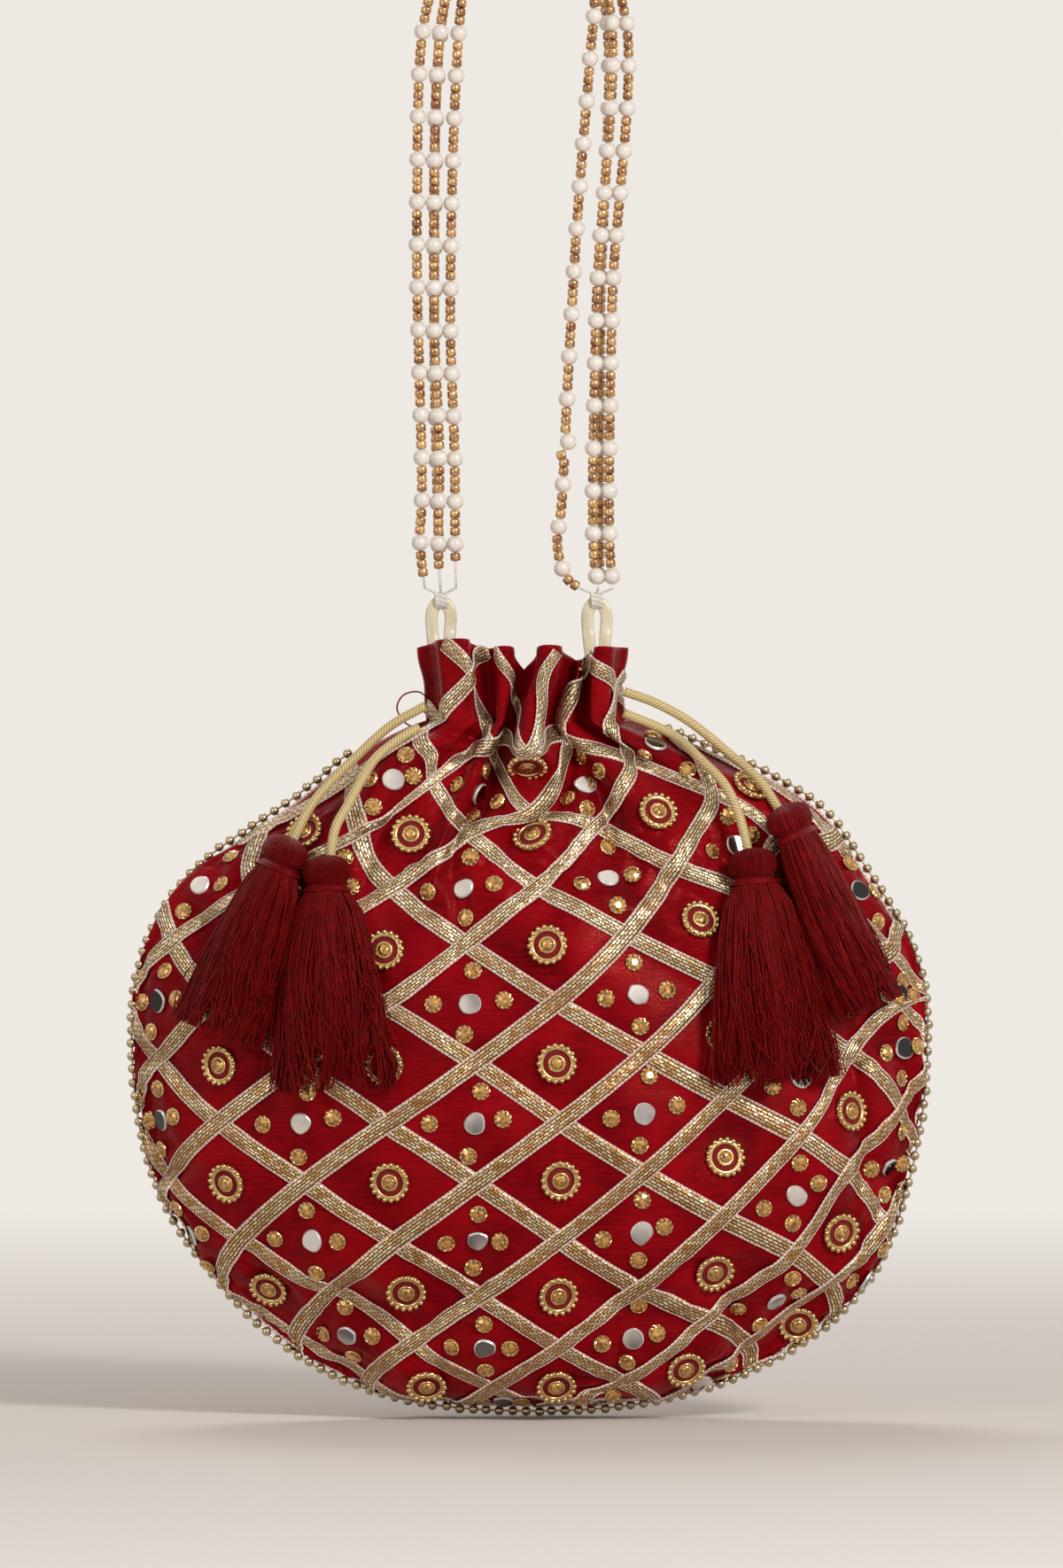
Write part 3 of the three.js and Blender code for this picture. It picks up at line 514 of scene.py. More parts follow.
# On strand 1's right side a few beads have slipped sideways: where, over what length, how far, and how much they tilt
SLIPPED_AT, SLIPPED_OVER, SLIPPED_BY, SLIPPED_TILT = 271, 4, 0.9, 0.6
STRANDS = {
    1: [(-27.6, -2.2, 230.3), (-29, -2.5, 244), (-28.4, -2.5, 256), (-29.8, -2.5, 337), (-26.5, -4, 396),
        (-18, -6.6, 411), (0, -6.6, STRAND_TOP), (16, -6.8, 411),
        (20, -7.4, 398), (19, -5, 380), (15.5, -2.5, 336), (12.8, -2.5, 290), (11, -2.5, 254), (9.8, -2.5, 242),
        (12.5, -2.5, 233), (16.6, -2.4, 230)],
    2: [(-23.2, -2.2, 230.3), (-23.8, -2.6, 241), (-23.5, -2.6, 268), (-25, -2.6, 310), (-22, -2.6, 396),
        (-16, -2.2, 411), (0, -2.2, STRAND_TOP), (16, -2.2, 411), (24.2, -2.6, 396), (20.8, -2.6, 310),
        (20, -2.6, 241), (21.2, -2.2, 230.3)],
    3: [(-18.8, -1.4, 230.3), (-19, -1, 241), (-19.2, -1, 268), (-20.4, -1, 310), (-17.2, 0, 396),
        (-14, 2.2, 411), (0, 2.2, STRAND_TOP), (16, 2.6, 411), (28, 0.6, 396), (25.2, -1, 310), (24.6, -1, 241),
        (25.6, -1.4, 230.3)],
    4: [(-23.2, 2.3, 230.3), (-23.6, 3, 241), (-25, 3.6, 310), (-22, 4, 396),
        (-16, 6.6, 411), (0, 6.8, STRAND_TOP), (16, 7.4, 411), (23, 5, 396), (22, 3.6, 310), (21.8, 3.2, 241),
        (21.4, 2.3, 230.3)],
}

# Imitation pearl: a coated round bead, warm white with a soft gloss and faint cloudy patches about 4 mm wide.
pearl, tree, shader, coords = new_material(
    "pearl_coated_bead", "#e9e0d2", 0.24,
    finish={"Coat Weight": 0.6, "Coat Roughness": 0.12, "Subsurface Weight": 0.15, "Subsurface Scale": 1.5 * MM})
cloudy = add_node(tree, "ShaderNodeTexNoise", {}, {"Vector": coords.outputs["Object"], "Scale": 220.0})
add_node(
    tree, "ShaderNodeMixRGB", {},
    {"Fac": cloudy.outputs["Fac"], "Color1": linear("#e8dacc"), "Color2": linear("#fbf7f0")},
    shader.inputs["Base Color"])

# Silver-lined seed glass: amber, lit from its lining, darker and lighter from bead to bead, in patches of 2 mm.
seed_glass, tree, shader, coords = new_material(
    "silver_lined_amber_glass", "#c08a42", 0.18, 0.55, {"Coat Weight": 1.0, "Coat Roughness": 0.05})
patches = add_node(tree, "ShaderNodeTexNoise", {}, {"Vector": coords.outputs["Object"], "Scale": 420.0, "Detail": 3.0})
spread = add_node(
    tree, "ShaderNodeMapRange", {}, {"Value": patches.outputs["Fac"], "From Min": 0.35, "From Max": 0.65})
add_node(
    tree, "ShaderNodeMixRGB", {},
    {"Fac": spread.outputs[0], "Color1": linear("#8a4f1c"), "Color2": linear("#e6b878")},
    shader.inputs["Base Color"])


def round_bead(radius, segments=12, rings=8):
    bm = bmesh.new()
    bmesh.ops.create_uvsphere(bm, u_segments=segments, v_segments=rings, radius=radius * MM)
    return finished(bm, "bead")


def seed_bead():
    """A short drum with rounded rims and dimpled ends, where the thread goes through."""
    bm = bmesh.new()
    bmesh.ops.create_cone(
        bm, cap_ends=True, segments=10, radius1=SEED_RADIUS * MM, radius2=SEED_RADIUS * MM, depth=SEED_LENGTH * MM)
    rims = [e for e in bm.edges if e.is_manifold and e.calc_face_angle() > 1.2]
    bmesh.ops.bevel(bm, geom=rims, offset=0.55 * MM, segments=2, profile=0.5, affect="EDGES", material=-1)
    return finished(bm, "seed")


def copies(master, matrices, material_index=0):
    """Copies of a small mesh, one for each matrix, as one mesh; a material index of None keeps the master's."""
    bm = bmesh.new()
    for matrix in matrices:
        copy = master.copy()
        copy.transform(matrix)
        bm.from_mesh(copy)
        bpy.data.meshes.remove(copy)
    if material_index is not None:
        for face in bm.faces:
            face.material_index = material_index
    return finished(bm, "copies")


def frame_at(point, forward, aside):
    """A matrix that stands a piece at a point, its Z axis along forward."""
    third = np.cross(forward, aside)
    matrix = Matrix.Identity(4)
    for row in range(3):
        matrix[row][0], matrix[row][1], matrix[row][2] = aside[row], third[row], forward[row]
        matrix[row][3] = point[row] * MM
    return matrix


pearl_mesh, seed_mesh = round_bead(PEARL_RADIUS), seed_bead()
dice = np.random.default_rng(7)
strand_lines = {}
for number, route in STRANDS.items():
    route = [(x, y, height - HOLD_HEIGHT) for x, y, height in route]
    line = line_through(route, 10)
    strand_lines[number] = line
    total = along(line)[-1]
    pearls, seeds = [], []
    distance = 1.0 + 2.2 * number
    order = number
    while distance < total - 1.5:
        is_pearl = order % BEADS_IN_TURN == 0
        length = PEARL_LENGTH if is_pearl else SEED_LENGTH
        (point,) = at_distances(line, [distance + length / 2])
        (ahead,) = at_distances(line, [distance + length / 2 + 0.5])
        forward = (ahead - point) / max(1e-9, np.linalg.norm(ahead - point))
        slipped = number == 1 and point[0] > 0 and abs(point[2] + HOLD_HEIGHT - SLIPPED_AT) < SLIPPED_OVER
        forward = forward + dice.normal(0, SLIPPED_TILT if slipped else BEAD_TILT, 3)
        forward /= np.linalg.norm(forward)
        aside = np.cross(forward, [0.0, 1.0, 0.2])
        aside /= np.linalg.norm(aside)
        if slipped:
            point = point + SLIPPED_BY * (-1) ** order * aside
        (pearls if is_pearl else seeds).append(frame_at(point, forward, aside))
        distance += length + BEAD_GAP
        order += 1
    beads = joined([
        copies(pearl_mesh, pearls, 0), copies(seed_mesh, seeds, 1), tube(line[::3], BEAD_THREAD_RADIUS, 5)])
    strand = piece(
        f"bead_strand_{number}", beads, [pearl, seed_glass], [f"handle_strand_{number}"])

# Tassels: a bundle of fine dark red silky threads, doubled over the cord's end, bound under its head with a few turns
# of the same thread and cut off ragged below. They lie on the bag's front, so the skirts are flattened fans.
TASSEL_HEAD = 9
TASSEL_HEAD_WIDTH = 13
TASSEL_DEPTH = 10
HEAD_ENDS, HEAD_SQUARENESS = 0.93, 2.6
LEAST_WIDTHS, LEAST_DEPTHS = (2.5, 9), (2.2, 8.5)
THREAD_RADIUS, HEAD_THREAD_RADIUS, BAND_THREAD_RADIUS, LOOSE_THREAD_RADIUS = 0.17, 0.22, 0.3, 0.24
HEAD_THREADS = 84
BAND_FROM = 0.9 * TASSEL_HEAD
BAND_HEIGHT, BAND_TURNS, BAND_STEPS = 1.9, 4, 96

# The skirt: threads for any skirt and more for a wide one, gathered in locks; every so many is a stray, and the longest
# is only so much longer than the tassel. A closed core of the same silk fills the inside.
SKIRT_THREADS, MORE_THREADS = 360, 10
LOCKS = 30
STRAYS_EVERY = 5
LONGEST_THREAD = 1.04
CORE_WIDTH = 0.78


def tassel_size(tassel, distance):
    """Width and depth of a tassel so far below its top."""
    length = math.dist(tassel["top"], tassel["foot"])
    share = distance / TASSEL_HEAD
    barrel = np.sqrt(np.clip(1 - np.abs(1 - share / 0.5) ** HEAD_SQUARENESS, 0.02, 1))
    spread = np.clip((distance - TASSEL_HEAD) / (length - TASSEL_HEAD), 0, 1) ** 0.5
    skirt_width = TASSEL_NECK + (tassel["fan"] - TASSEL_NECK) * spread
    skirt_depth = TASSEL_NECK + (TASSEL_DEPTH - TASSEL_NECK) * spread
    width = np.where(share < HEAD_ENDS, TASSEL_HEAD_WIDTH * barrel, skirt_width)
    depth = np.where(share < HEAD_ENDS, TASSEL_NECK * barrel, skirt_depth)
    least_width, least_depth = [np.where(share > 0.5, low, top) for top, low in (LEAST_WIDTHS, LEAST_DEPTHS)]
    return np.maximum(width, least_width), np.maximum(depth, least_depth)


def in_tassel(tassel, distance, out, turn):
    """Points of a tassel: how far below its top, what share of the way out from its middle, and which way round."""
    distance, out, turn = np.broadcast_arrays(*[np.asarray(v, float) for v in (distance, out, turn)])
    top, foot = np.array(tassel["top"], float), np.array(tassel["foot"], float)
    length = np.linalg.norm(foot - top)
    way = (foot - top) / length
    width, depth = tassel_size(tassel, distance)
    sideways = width / 2 * out * np.cos(turn)
    x = top[0] + way[0] * distance + sideways * way[1]
    height = top[1] + way[1] * distance - sideways * way[0]
    raised = tassel["raised"] + (TASSEL_NECK - np.minimum(depth, TASSEL_NECK)) / 2 + BINDING_THICKNESS
    return on_front(x, height, raised + depth / 2 + depth / 2 * out * np.sin(turn))


def threads(lines, radius):
    """Many thin threads as one mesh: each is a line of points in millimetres."""
    curve = bpy.data.curves.new("threads", "CURVE")
    curve.dimensions = "3D"
    curve.bevel_depth = radius * MM
    curve.bevel_resolution = 0
    for line in lines:
        spline = curve.splines.new("POLY")
        spline.points.add(len(line) - 1)
        spline.points.foreach_set("co", np.column_stack([line * MM, np.ones(len(line))]).ravel())
    holder = bpy.data.objects.new("threads", curve)
    scene.collection.objects.link(holder)
    mesh = bpy.data.meshes.new_from_object(holder.evaluated_get(bpy.context.evaluated_depsgraph_get()))
    bpy.data.objects.remove(holder)
    bpy.data.curves.remove(curve)
    return mesh


# Silky viscose thread: deep red that goes lighter where the light runs along it, and differs from thread to thread,
# by noise about 2.5 mm wide.
silk, tree, shader, coords = new_material(
    "silky_viscose_thread", "#86040e", 0.4,
    finish={"Specular Tint": linear("#ff6a5a"), "Sheen Weight": 0.08, "Sheen Tint": linear("#ff4a4a")})
strands_differ = add_node(
    tree, "ShaderNodeTexNoise", {}, {"Vector": coords.outputs["Object"], "Scale": 380.0, "Detail": 4.0})
add_node(
    tree, "ShaderNodeMixRGB", {},
    {"Fac": strands_differ.outputs["Fac"], "Color1": linear("#320105"), "Color2": linear("#84030c")},
    shader.inputs["Base Color"])

# The same thread seen close together, as on a tassel's head: fine ridges along the threads, 0.45 mm apart, painted
# darker between the ridges, a painted shade in the grooves.
wound_silk, tree, shader, coords = new_material(
    "wound_viscose_thread", "#8a0510", 0.42,
    finish={"Specular Tint": linear("#ff6a5a"), "Sheen Weight": 0.1, "Sheen Tint": linear("#ff4a4a")})
ridges = add_node(
    tree, "ShaderNodeTexWave", {"wave_type": "BANDS", "bands_direction": "X"},
    {"Vector": coords.outputs["UV"], "Scale": bands_apart(0.45), "Distortion": 2.5, "Detail": 3.0,
     "Detail Scale": 1.5})
# Painted shade: darker between the ridges, in the grooves between threads.
add_node(
    tree, "ShaderNodeMixRGB", {},
    {"Fac": ridges.outputs["Fac"], "Color1": linear("#480107"), "Color2": linear("#8c0610")},
    shader.inputs["Base Color"])
add_node(
    tree, "ShaderNodeBump", {}, {"Height": ridges.outputs["Fac"], "Strength": 0.7, "Distance": 0.15 * MM},
    shader.inputs["Normal"])

# A sewing thread pulled loose at the neck's left side, by the drawstring
LOOSE_THREAD = [
    (-26.4, -3, 199), (-29.5, -5, 201), (-33.6, -6, 200), (-35.4, -6.5, 196.5), (-33.4, -7, 192.6), (-30.2, -7, 190.4),
    (-28.4, -6, 188)]

for name, tassel in TASSELS.items():
    length = math.dist(tassel["top"], tassel["foot"])
    turns = np.linspace(0, 2 * np.pi, 49)
    stops = TASSEL_HEAD * np.array([0, 0.01, 0.05, 0.12, 0.22, 0.35, 0.5, 0.65, 0.78, 0.88, 0.93, 1.0])
    surface = in_tassel(tassel, stops[:, None], 1.0, turns[None, :])
    surface[0] = surface[0].mean(axis=0)
    surface[:, -1] = surface[:, 0]
    uv = np.stack(np.broadcast_arrays(TASSEL_HEAD_WIDTH / 2 * turns[None, :], stops[:, None]), axis=-1)
    around = np.linspace(0, 2 * np.pi, HEAD_THREADS, endpoint=False)[:, None] + dice.normal(0, 0.02, (HEAD_THREADS, 1))
    over_head = in_tassel(tassel, stops[None, 1:], 0.99 + 0.03 * dice.random((HEAD_THREADS, 1)), around)
    head = piece(
        "tassel_head_" + name, joined([mesh_from_grid(surface, uv, True), threads(over_head, HEAD_THREAD_RADIUS)]),
        [wound_silk],
        ["tassel_" + name])

    stops = np.concatenate([[TASSEL_HEAD * 0.9], np.linspace(TASSEL_HEAD * 1.05, length * 0.88, 14)])
    surface = in_tassel(tassel, stops[:, None], CORE_WIDTH, turns[None, :])
    surface[:, -1] = surface[:, 0]
    uv = np.stack(np.broadcast_arrays(
        tassel["fan"] / 2 * turns[None, :] * (0.5 + 0.5 * stops[:, None] / length), stops[:, None]), axis=-1)
    core = mesh_from_grid(surface, uv, True)
    count = SKIRT_THREADS + MORE_THREADS * tassel["fan"]
    share = np.linspace(0, 1, 9)[None, :]
    lock = dice.integers(0, LOCKS, (count, 1))
    lock_turn = (np.arange(LOCKS) + dice.uniform(0, 0.5, LOCKS)) * 2 * np.pi / LOCKS
    lock_sway, lock_curl = dice.normal(0, 0.16, LOCKS), dice.uniform(2, 6, LOCKS)
    lock_reach, lock_out = dice.normal(0, 0.035, LOCKS), dice.uniform(-0.1, 0.1, LOCKS)
    loose = np.where(np.arange(count) % STRAYS_EVERY == 0, 1.0, 0.12)[:, None]
    beside = dice.uniform(-1.3, 1.3, (count, 1)) * np.pi / LOCKS * (1 - 0.3 * share)
    reach = length * np.minimum(LONGEST_THREAD, 1 + lock_reach[lock] + dice.normal(0, 0.022, (count, 1)) * (1 + loose))
    distance = TASSEL_HEAD * 0.97 + (reach - TASSEL_HEAD * 0.97) * share
    curl = np.sin(share * dice.uniform(3, 10, (count, 1)) + dice.uniform(0, 6, (count, 1)))
    stray = (dice.normal(0, 0.35, (count, 1)) + 0.35 * curl) * loose
    wander = lock_turn[lock] + beside + (lock_sway[lock] * np.sin(share * lock_curl[lock]) + stray) * share
    lift = 0.8 + 0.24 * dice.random((count, 1)) ** 0.7 + (lock_out[lock] + 0.16 * loose * (curl + 0.4)) * share
    lines = in_tassel(tassel, distance, lift, wander)
    skirt = piece(
        "tassel_skirt_" + name, joined([core, threads(lines, THREAD_RADIUS)]), [silk])

    turns = np.linspace(0, 2 * np.pi * BAND_TURNS, BAND_STEPS)
    wind = in_tassel(tassel, BAND_FROM + BAND_HEIGHT * np.linspace(0, 1, BAND_STEPS), 1.06, turns)
    binding = piece(
        "tassel_band_" + name, tube(wind, BAND_THREAD_RADIUS, 6), [wound_silk],
        ["tassel_binding_" + name])

    line = drawstring_lines[name]
    if name == "left_outer":
        slack = line_through([np.array((x, y, height - HOLD_HEIGHT), float) for x, y, height in LOOSE_THREAD], 8)
        piece("loose_thread", tube(slack, LOOSE_THREAD_RADIUS, 6), [silk])

# Panels: one cut of crimson satin each side, backed and lined. The cloth is wider than it hangs, so it is gathered at
# the neck into deep rolled pleats, and puckers along the seam. Folds run down from the gathers.
PANEL_ROWS = 186
PANEL_COLUMNS = 180
NECK_ROWS_FROM = 150
BODY_ROWS = 106
LOWEST_UP = -FLAT_BOTTOM_DROP
CLOTH_THICKNESS = 0.9
DIAMOND_WIDTH = 46.4
DIAMOND_HEIGHT = 32.5
LATTICE_ACROSS = 3.5
LATTICE_UP = 97.5

# Each pressed fold: the x and height of points that it runs through, how deep it is and how wide
FOLDS = {
    -1: [([(-6.9, 184), (-7.5, 179), (-10.7, 172), (-16.5, 164), (-19.3, 156), (-18, 138), (-17, 122)], 5.0, 3.0),
         ([(14.4, 184), (13.4, 178), (11.5, 171), (3.6, 164), (-6.9, 158), (-16.9, 155)], 4.4, 2.8),
         ([(-31, 191.5), (-25.5, 190.3), (-18.4, 189), (-11.7, 186.9), (-8, 183)], 3.0, 2.2),
         ([(-9, 182), (-12.6, 182.4), (-24.1, 184), (-33, 181)], 2.2, 2.2),
         ([(24, 190), (32, 187), (45, 181), (60, 170)], 2.2, 3.0),
         ([(17, 183), (22, 172), (25, 160), (24, 146)], 2.4, 3.2),
         ([(-28, 182), (-36, 168), (-43, 152), (-45, 138)], 2.4, 4.0),
         ([(88.8, 101), (93, 71), (89, 44)], 3.4, 4.0),
         ([(78, 150), (88, 138), (93, 122)], 2.6, 4.0),
         ([(-112, 100), (-101, 99), (-92, 96)], 2.6, 3.5),
         ([(-107, 66), (-96, 66), (-86, 70)], 2.4, 3.5),
         ([(-95, 140), (-84, 132), (-74, 128)], 2.2, 3.5),
         ([(-60, 12), (-56, 24), (-50, 34)], 2.4, 3.5),
         ([(-22, 4), (-21, 16), (-17, 27)], 2.2, 3.5),
         ([(24, 5), (26, 18), (25, 30)], 2.4, 3.5),
         ([(62, 14), (59, 27), (52, 38)], 2.6, 3.5)],
    1: [([(6, 186), (10, 162), (9, 138)], 4.0, 3.2),
        ([(-12, 186), (-17, 165), (-26, 144)], 3.6, 3.2),
        ([(24, 188), (34, 176), (48, 160)], 2.6, 3.4),
        ([(-26, 186), (-38, 174), (-46, 156)], 2.4, 3.6),
        ([(-92, 104), (-95, 74), (-88, 48)], 2.8, 4.2),
        ([(110, 92), (98, 90), (88, 92)], 2.4, 3.5),
        ([(-62, 14), (-58, 26), (-50, 36)], 2.4, 3.5),
        ([(-20, 5), (-20, 18), (-14, 28)], 2.2, 3.5),
        ([(28, 5), (28, 18), (30, 30)], 2.4, 3.5),
        ([(64, 14), (58, 26), (50, 38)], 2.4, 3.5)],
}
FOLD_STRENGTH = 1.65
FOLD_STARTS, FOLD_ENDS = (0, 0.12), (0.45, 1.0)
BANK_RISE, BANK_WIDTH = 0.32, 2.6
LEAST_PRESSED, LEAST_SETTLED = 0.15, 0.3
PILLOW_RISE = 0.9
PUCKER_RISE = 0.16
PUCKERS = 23
PILLOWS_FADE = (170, 190)

# The hollow under the ruffle's tongue: its x and height, its width and tallness, and how deep it is
TONGUE_HOLLOW = (3.5, 177.5, 8.0, 4.0, 4.5)

# Each rumple: how high it is, how long, which way it runs and where it starts
RUMPLES = [
    (0.7, 8.5, 0.4, 1.0), (0.6, 6.5, 2.1, 4.2), (0.5, 10.5, 1.3, 0.3), (0.35, 4.2, 0.9, 2.0), (0.3, 3.6, 2.6, 5.1)]
RUMPLES_FADE = (165, 190)

# The settling: the cloth is cut too large by a share, held from these places up to the neck, out to the seam and down
# to the foot, lightly blown up from inside, and moves no further than the cap
SPARE_CLOTH = 0.055
SETTLE_FRAMES = 22
FIRST_SETTLED_ROW = 4
SETTLE_CAP = 3.5
HELD_NECK, HELD_SEAM, HELD_FOOT = (146, 168), (0.975, 0.99), (1, 6)
CLOTH_VALUES = {
    "quality": 6, "mass": 0.1, "tension_stiffness": 12, "compression_stiffness": 12, "shear_stiffness": 6,
    "bending_stiffness": 0.02, "shrink_min": -SPARE_CLOTH, "use_pressure": True,
    "uniform_pressure_force": 0.4, "vertex_group_mass": "held", "air_damping": 2.0}


def pillows(across, up):
    """How far the cloth swells between the ribbons that are sewn over it, with small puckers along the stitching."""
    x = across * cloth_half_width(up)
    steps_across = (x - LATTICE_ACROSS) / (DIAMOND_WIDTH / 2)
    steps_up = (up - LATTICE_UP) / (DIAMOND_HEIGHT / 2)
    one, other = steps_across - steps_up, steps_across + steps_up
    swell = np.sqrt(np.abs(np.cos(np.pi / 2 * one) * np.cos(np.pi / 2 * other)))
    pucker = np.sin(PUCKERS * one + 5 * np.sin(4 * other)) * np.abs(np.sin(np.pi / 2 * other)) ** 6
    pucker = pucker + np.sin(PUCKERS * other + 5 * np.sin(4 * one)) * np.abs(np.sin(np.pi / 2 * one)) ** 6
    return (PILLOW_RISE * swell + PUCKER_RISE * pucker) * (1 - smooth(*PILLOWS_FADE, up)) * (1 - across ** 10)


def folded(side, places):
    """Presses the folds into a panel's places, with the cloth beside each fold standing up a little."""
    x, height = places[..., 0], places[..., 2] + HOLD_HEIGHT
    pressed = np.zeros_like(x)
    for route, deep, wide in FOLDS[side]:
        line = line_through([(a, 0, b) for a, b in route], 8)[:, [0, 2]]
        away = np.hypot(x[..., None] - line[:, 0], height[..., None] - line[:, 1])
        nearest = away.argmin(axis=-1)
        share = nearest / (len(line) - 1)
        fade = smooth(*FOLD_STARTS, share + 0.06) * (1 - smooth(*FOLD_ENDS, share))
        away = away.min(axis=-1)
        bank = BANK_RISE * np.exp(-(away / (BANK_WIDTH * wide)) ** 2)
        pressed += deep * fade * (np.exp(-np.abs(away / wide) ** 1.6) - bank)
    if side < 0:
        hollow_x, hollow_height, wide, tall, deep = TONGUE_HOLLOW
        pressed += deep * np.exp(-((x - hollow_x) / wide) ** 2 - ((height - hollow_height) / tall) ** 2)
    moved = places.copy()
    depth = np.abs(moved[..., 1]) - SEAM_GAP / 2
    pressed = pressed * FOLD_STRENGTH * np.minimum(1, depth / 6)
    moved[..., 1] = side * (SEAM_GAP / 2 + np.maximum(depth * LEAST_PRESSED, depth - pressed))
    return moved


def rumpled(across, up):
    """Broad, shallow hollows and swells of a soft filling, in millimetres."""
    x = across * cloth_half_width(up)
    swells = sum(
        size * np.sin(x * np.cos(way) / length + up * np.sin(way) / length + start)
        for size, length, way, start in RUMPLES)
    return swells * (1 - smooth(*RUMPLES_FADE, up)) * (1 - across ** 6)


def settled(side, places):
    """Lets the cloth between the seam and the neck buckle, as cloth that is cut a little too large does."""
    coarse = places[FIRST_SETTLED_ROW::2, ::2]
    coarse_up = up_lines[FIRST_SETTLED_ROW::2]
    mesh, row, column = grid_mesh(coarse)
    sheet = bpy.data.objects.new("settling_cloth", mesh)
    scene.collection.objects.link(sheet)
    up, across = coarse_up[row], across_lines[::2][column]
    hold = np.maximum(smooth(*HELD_NECK, up), smooth(*HELD_SEAM, np.abs(across)))
    hold = np.maximum(hold, 1 - smooth(coarse_up[0] + HELD_FOOT[0], coarse_up[0] + HELD_FOOT[1], up))
    held = sheet.vertex_groups.new(name="held")
    for index, share in enumerate(hold):
        held.add([index], float(share), "REPLACE")
    simulation = sheet.modifiers.new("cloth", "CLOTH")
    for name, value in CLOTH_VALUES.items():
        setattr(simulation.settings, name, value)
    simulation.settings.effector_weights.gravity = 0
    simulation.collision_settings.use_collision = False
    simulation.point_cache.frame_end = SETTLE_FRAMES
    for step in range(1, SETTLE_FRAMES + 1):
        scene.frame_set(step)
    ready = sheet.evaluated_get(bpy.context.evaluated_depsgraph_get())
    flat = np.empty(len(mesh.vertices) * 3)
    ready.data.vertices.foreach_get("co", flat)
    moved = np.zeros_like(coarse)
    moved[row, column] = flat.reshape(-1, 3) / MM - coarse[row, column]
    far = np.linalg.norm(moved, axis=-1)
    moved *= (np.minimum(far, SETTLE_CAP) / np.maximum(far, 1e-9))[..., None]
    bpy.data.objects.remove(sheet)
    bpy.data.meshes.remove(mesh)
    scene.frame_set(1)
    rows = np.interp(up_lines, coarse_up, np.arange(len(coarse)))
    low = np.minimum(rows.astype(int), len(coarse) - 2)
    share = (rows - low)[:, None, None]
    between = moved[low] * (1 - share) + moved[low + 1] * share
    now = places.copy()
    now[:, ::2] += between
    now[:, 1::2] += (between[:, :-1] + between[:, 1:]) / 2
    now[..., 1] = side * np.maximum(np.abs(places[..., 1]) * LEAST_SETTLED, side * now[..., 1])
    return now


up_lines = np.concatenate([
    np.linspace(LOWEST_UP, NECK_ROWS_FROM, BODY_ROWS, endpoint=False),
    np.linspace(NECK_ROWS_FROM, TOP_UP, PANEL_ROWS + 1 - BODY_ROWS)])
across_lines = np.linspace(-1, 1, PANEL_COLUMNS + 1)
SIDES = {-1: "front", 1: "back"}
cloth = {}
for side in SIDES:
    cloth[side] = folded(side, panel_place(side, across_lines[None, :], up_lines[:, None]))
    cloth[side][..., 1] += side * rumpled(across_lines[None, :], up_lines[:, None])
    cloth[side] = settled(side, cloth[side])
    cloth[side][..., 1] += side * pillows(across_lines[None, :], up_lines[:, None])


def outward(side):
    """Which way each place of a panel faces."""
    down = np.gradient(cloth[side], axis=0)
    sideways = np.gradient(cloth[side], axis=1)
    facing = np.cross(sideways, down) * -side
    facing /= np.maximum(1e-9, np.linalg.norm(facing, axis=-1))[..., None]
    return facing


facing = {side: outward(side) for side in SIDES}


def on_cloth(side, across, up, raised=0.0):
    """Places on the hanging cloth, and which way it faces there."""
    across, up, raised = np.broadcast_arrays(*[np.asarray(v, float) for v in (across, up, raised)])
    column = np.clip((across + 1) / 2, 0, 1) * PANEL_COLUMNS
    row = np.interp(up, up_lines, np.arange(PANEL_ROWS + 1))
    left = np.minimum(column.astype(int), PANEL_COLUMNS - 1)
    low = np.minimum(row.astype(int), PANEL_ROWS - 1)
    right_share, top_share = (column - left)[..., None], (row - low)[..., None]
    values = []
    for grid in (cloth[side], facing[side]):
        under = grid[low, left] * (1 - right_share) + grid[low, left + 1] * right_share
        over = grid[low + 1, left] * (1 - right_share) + grid[low + 1, left + 1] * right_share
        values.append(under * (1 - top_share) + over * top_share)
    place, face = values
    face = face / np.maximum(1e-9, np.linalg.norm(face, axis=-1))[..., None]
    return place + face * raised[..., None], face


# Satin: the threads run level and float long over the cloth, so it has a soft sheen, faint level lines about half a
# millimetre apart, and cloudier patches where it was pressed.
satin, tree, shader, coords = new_material(
    "crimson_polyester_satin", "#9b0f1e", 0.34,
    finish={"Specular IOR Level": 0.16, "Specular Tint": linear("#ff7a6a"), "Sheen Weight": 0.16,
        "Sheen Roughness": 0.3, "Sheen Tint": linear("#ff2c34")})
long_threads = add_node(
    tree, "ShaderNodeMapping", {}, {"Vector": coords.outputs["UV"], "Scale": (160, 1700, 1)})
floats = add_node(
    tree, "ShaderNodeTexNoise", {}, {"Vector": long_threads.outputs[0], "Scale": 1.0, "Detail": 3.0})
clouds = add_node(tree, "ShaderNodeTexNoise", {}, {"Vector": coords.outputs["UV"], "Scale": 45.0, "Detail": 2.0})
both = add_node(
    tree, "ShaderNodeMath", {"operation": "MULTIPLY_ADD"},
    {0: floats.outputs["Fac"], 1: 0.7, 2: clouds.outputs["Fac"]})
spread = add_node(tree, "ShaderNodeMapRange", {}, {"Value": both.outputs[0], "From Min": 0.6, "From Max": 1.1})
add_node(
    tree, "ShaderNodeMixRGB", {},
    {"Fac": spread.outputs[0], "Color1": linear("#62020b"), "Color2": linear("#a00917")},
    shader.inputs["Base Color"])
glints = add_node(tree, "ShaderNodeTexNoise", {}, {"Vector": coords.outputs["UV"], "Scale": 1400.0, "Detail": 1.0})
add_node(
    tree, "ShaderNodeMapRange", {},
    {"Value": glints.outputs["Fac"], "From Min": 0.35, "From Max": 0.65, "To Min": 0.46, "To Max": 0.24},
    shader.inputs["Roughness"])
add_node(
    tree, "ShaderNodeBump", {}, {"Height": floats.outputs["Fac"], "Strength": 0.5, "Distance": 0.12 * MM},
    shader.inputs["Normal"])

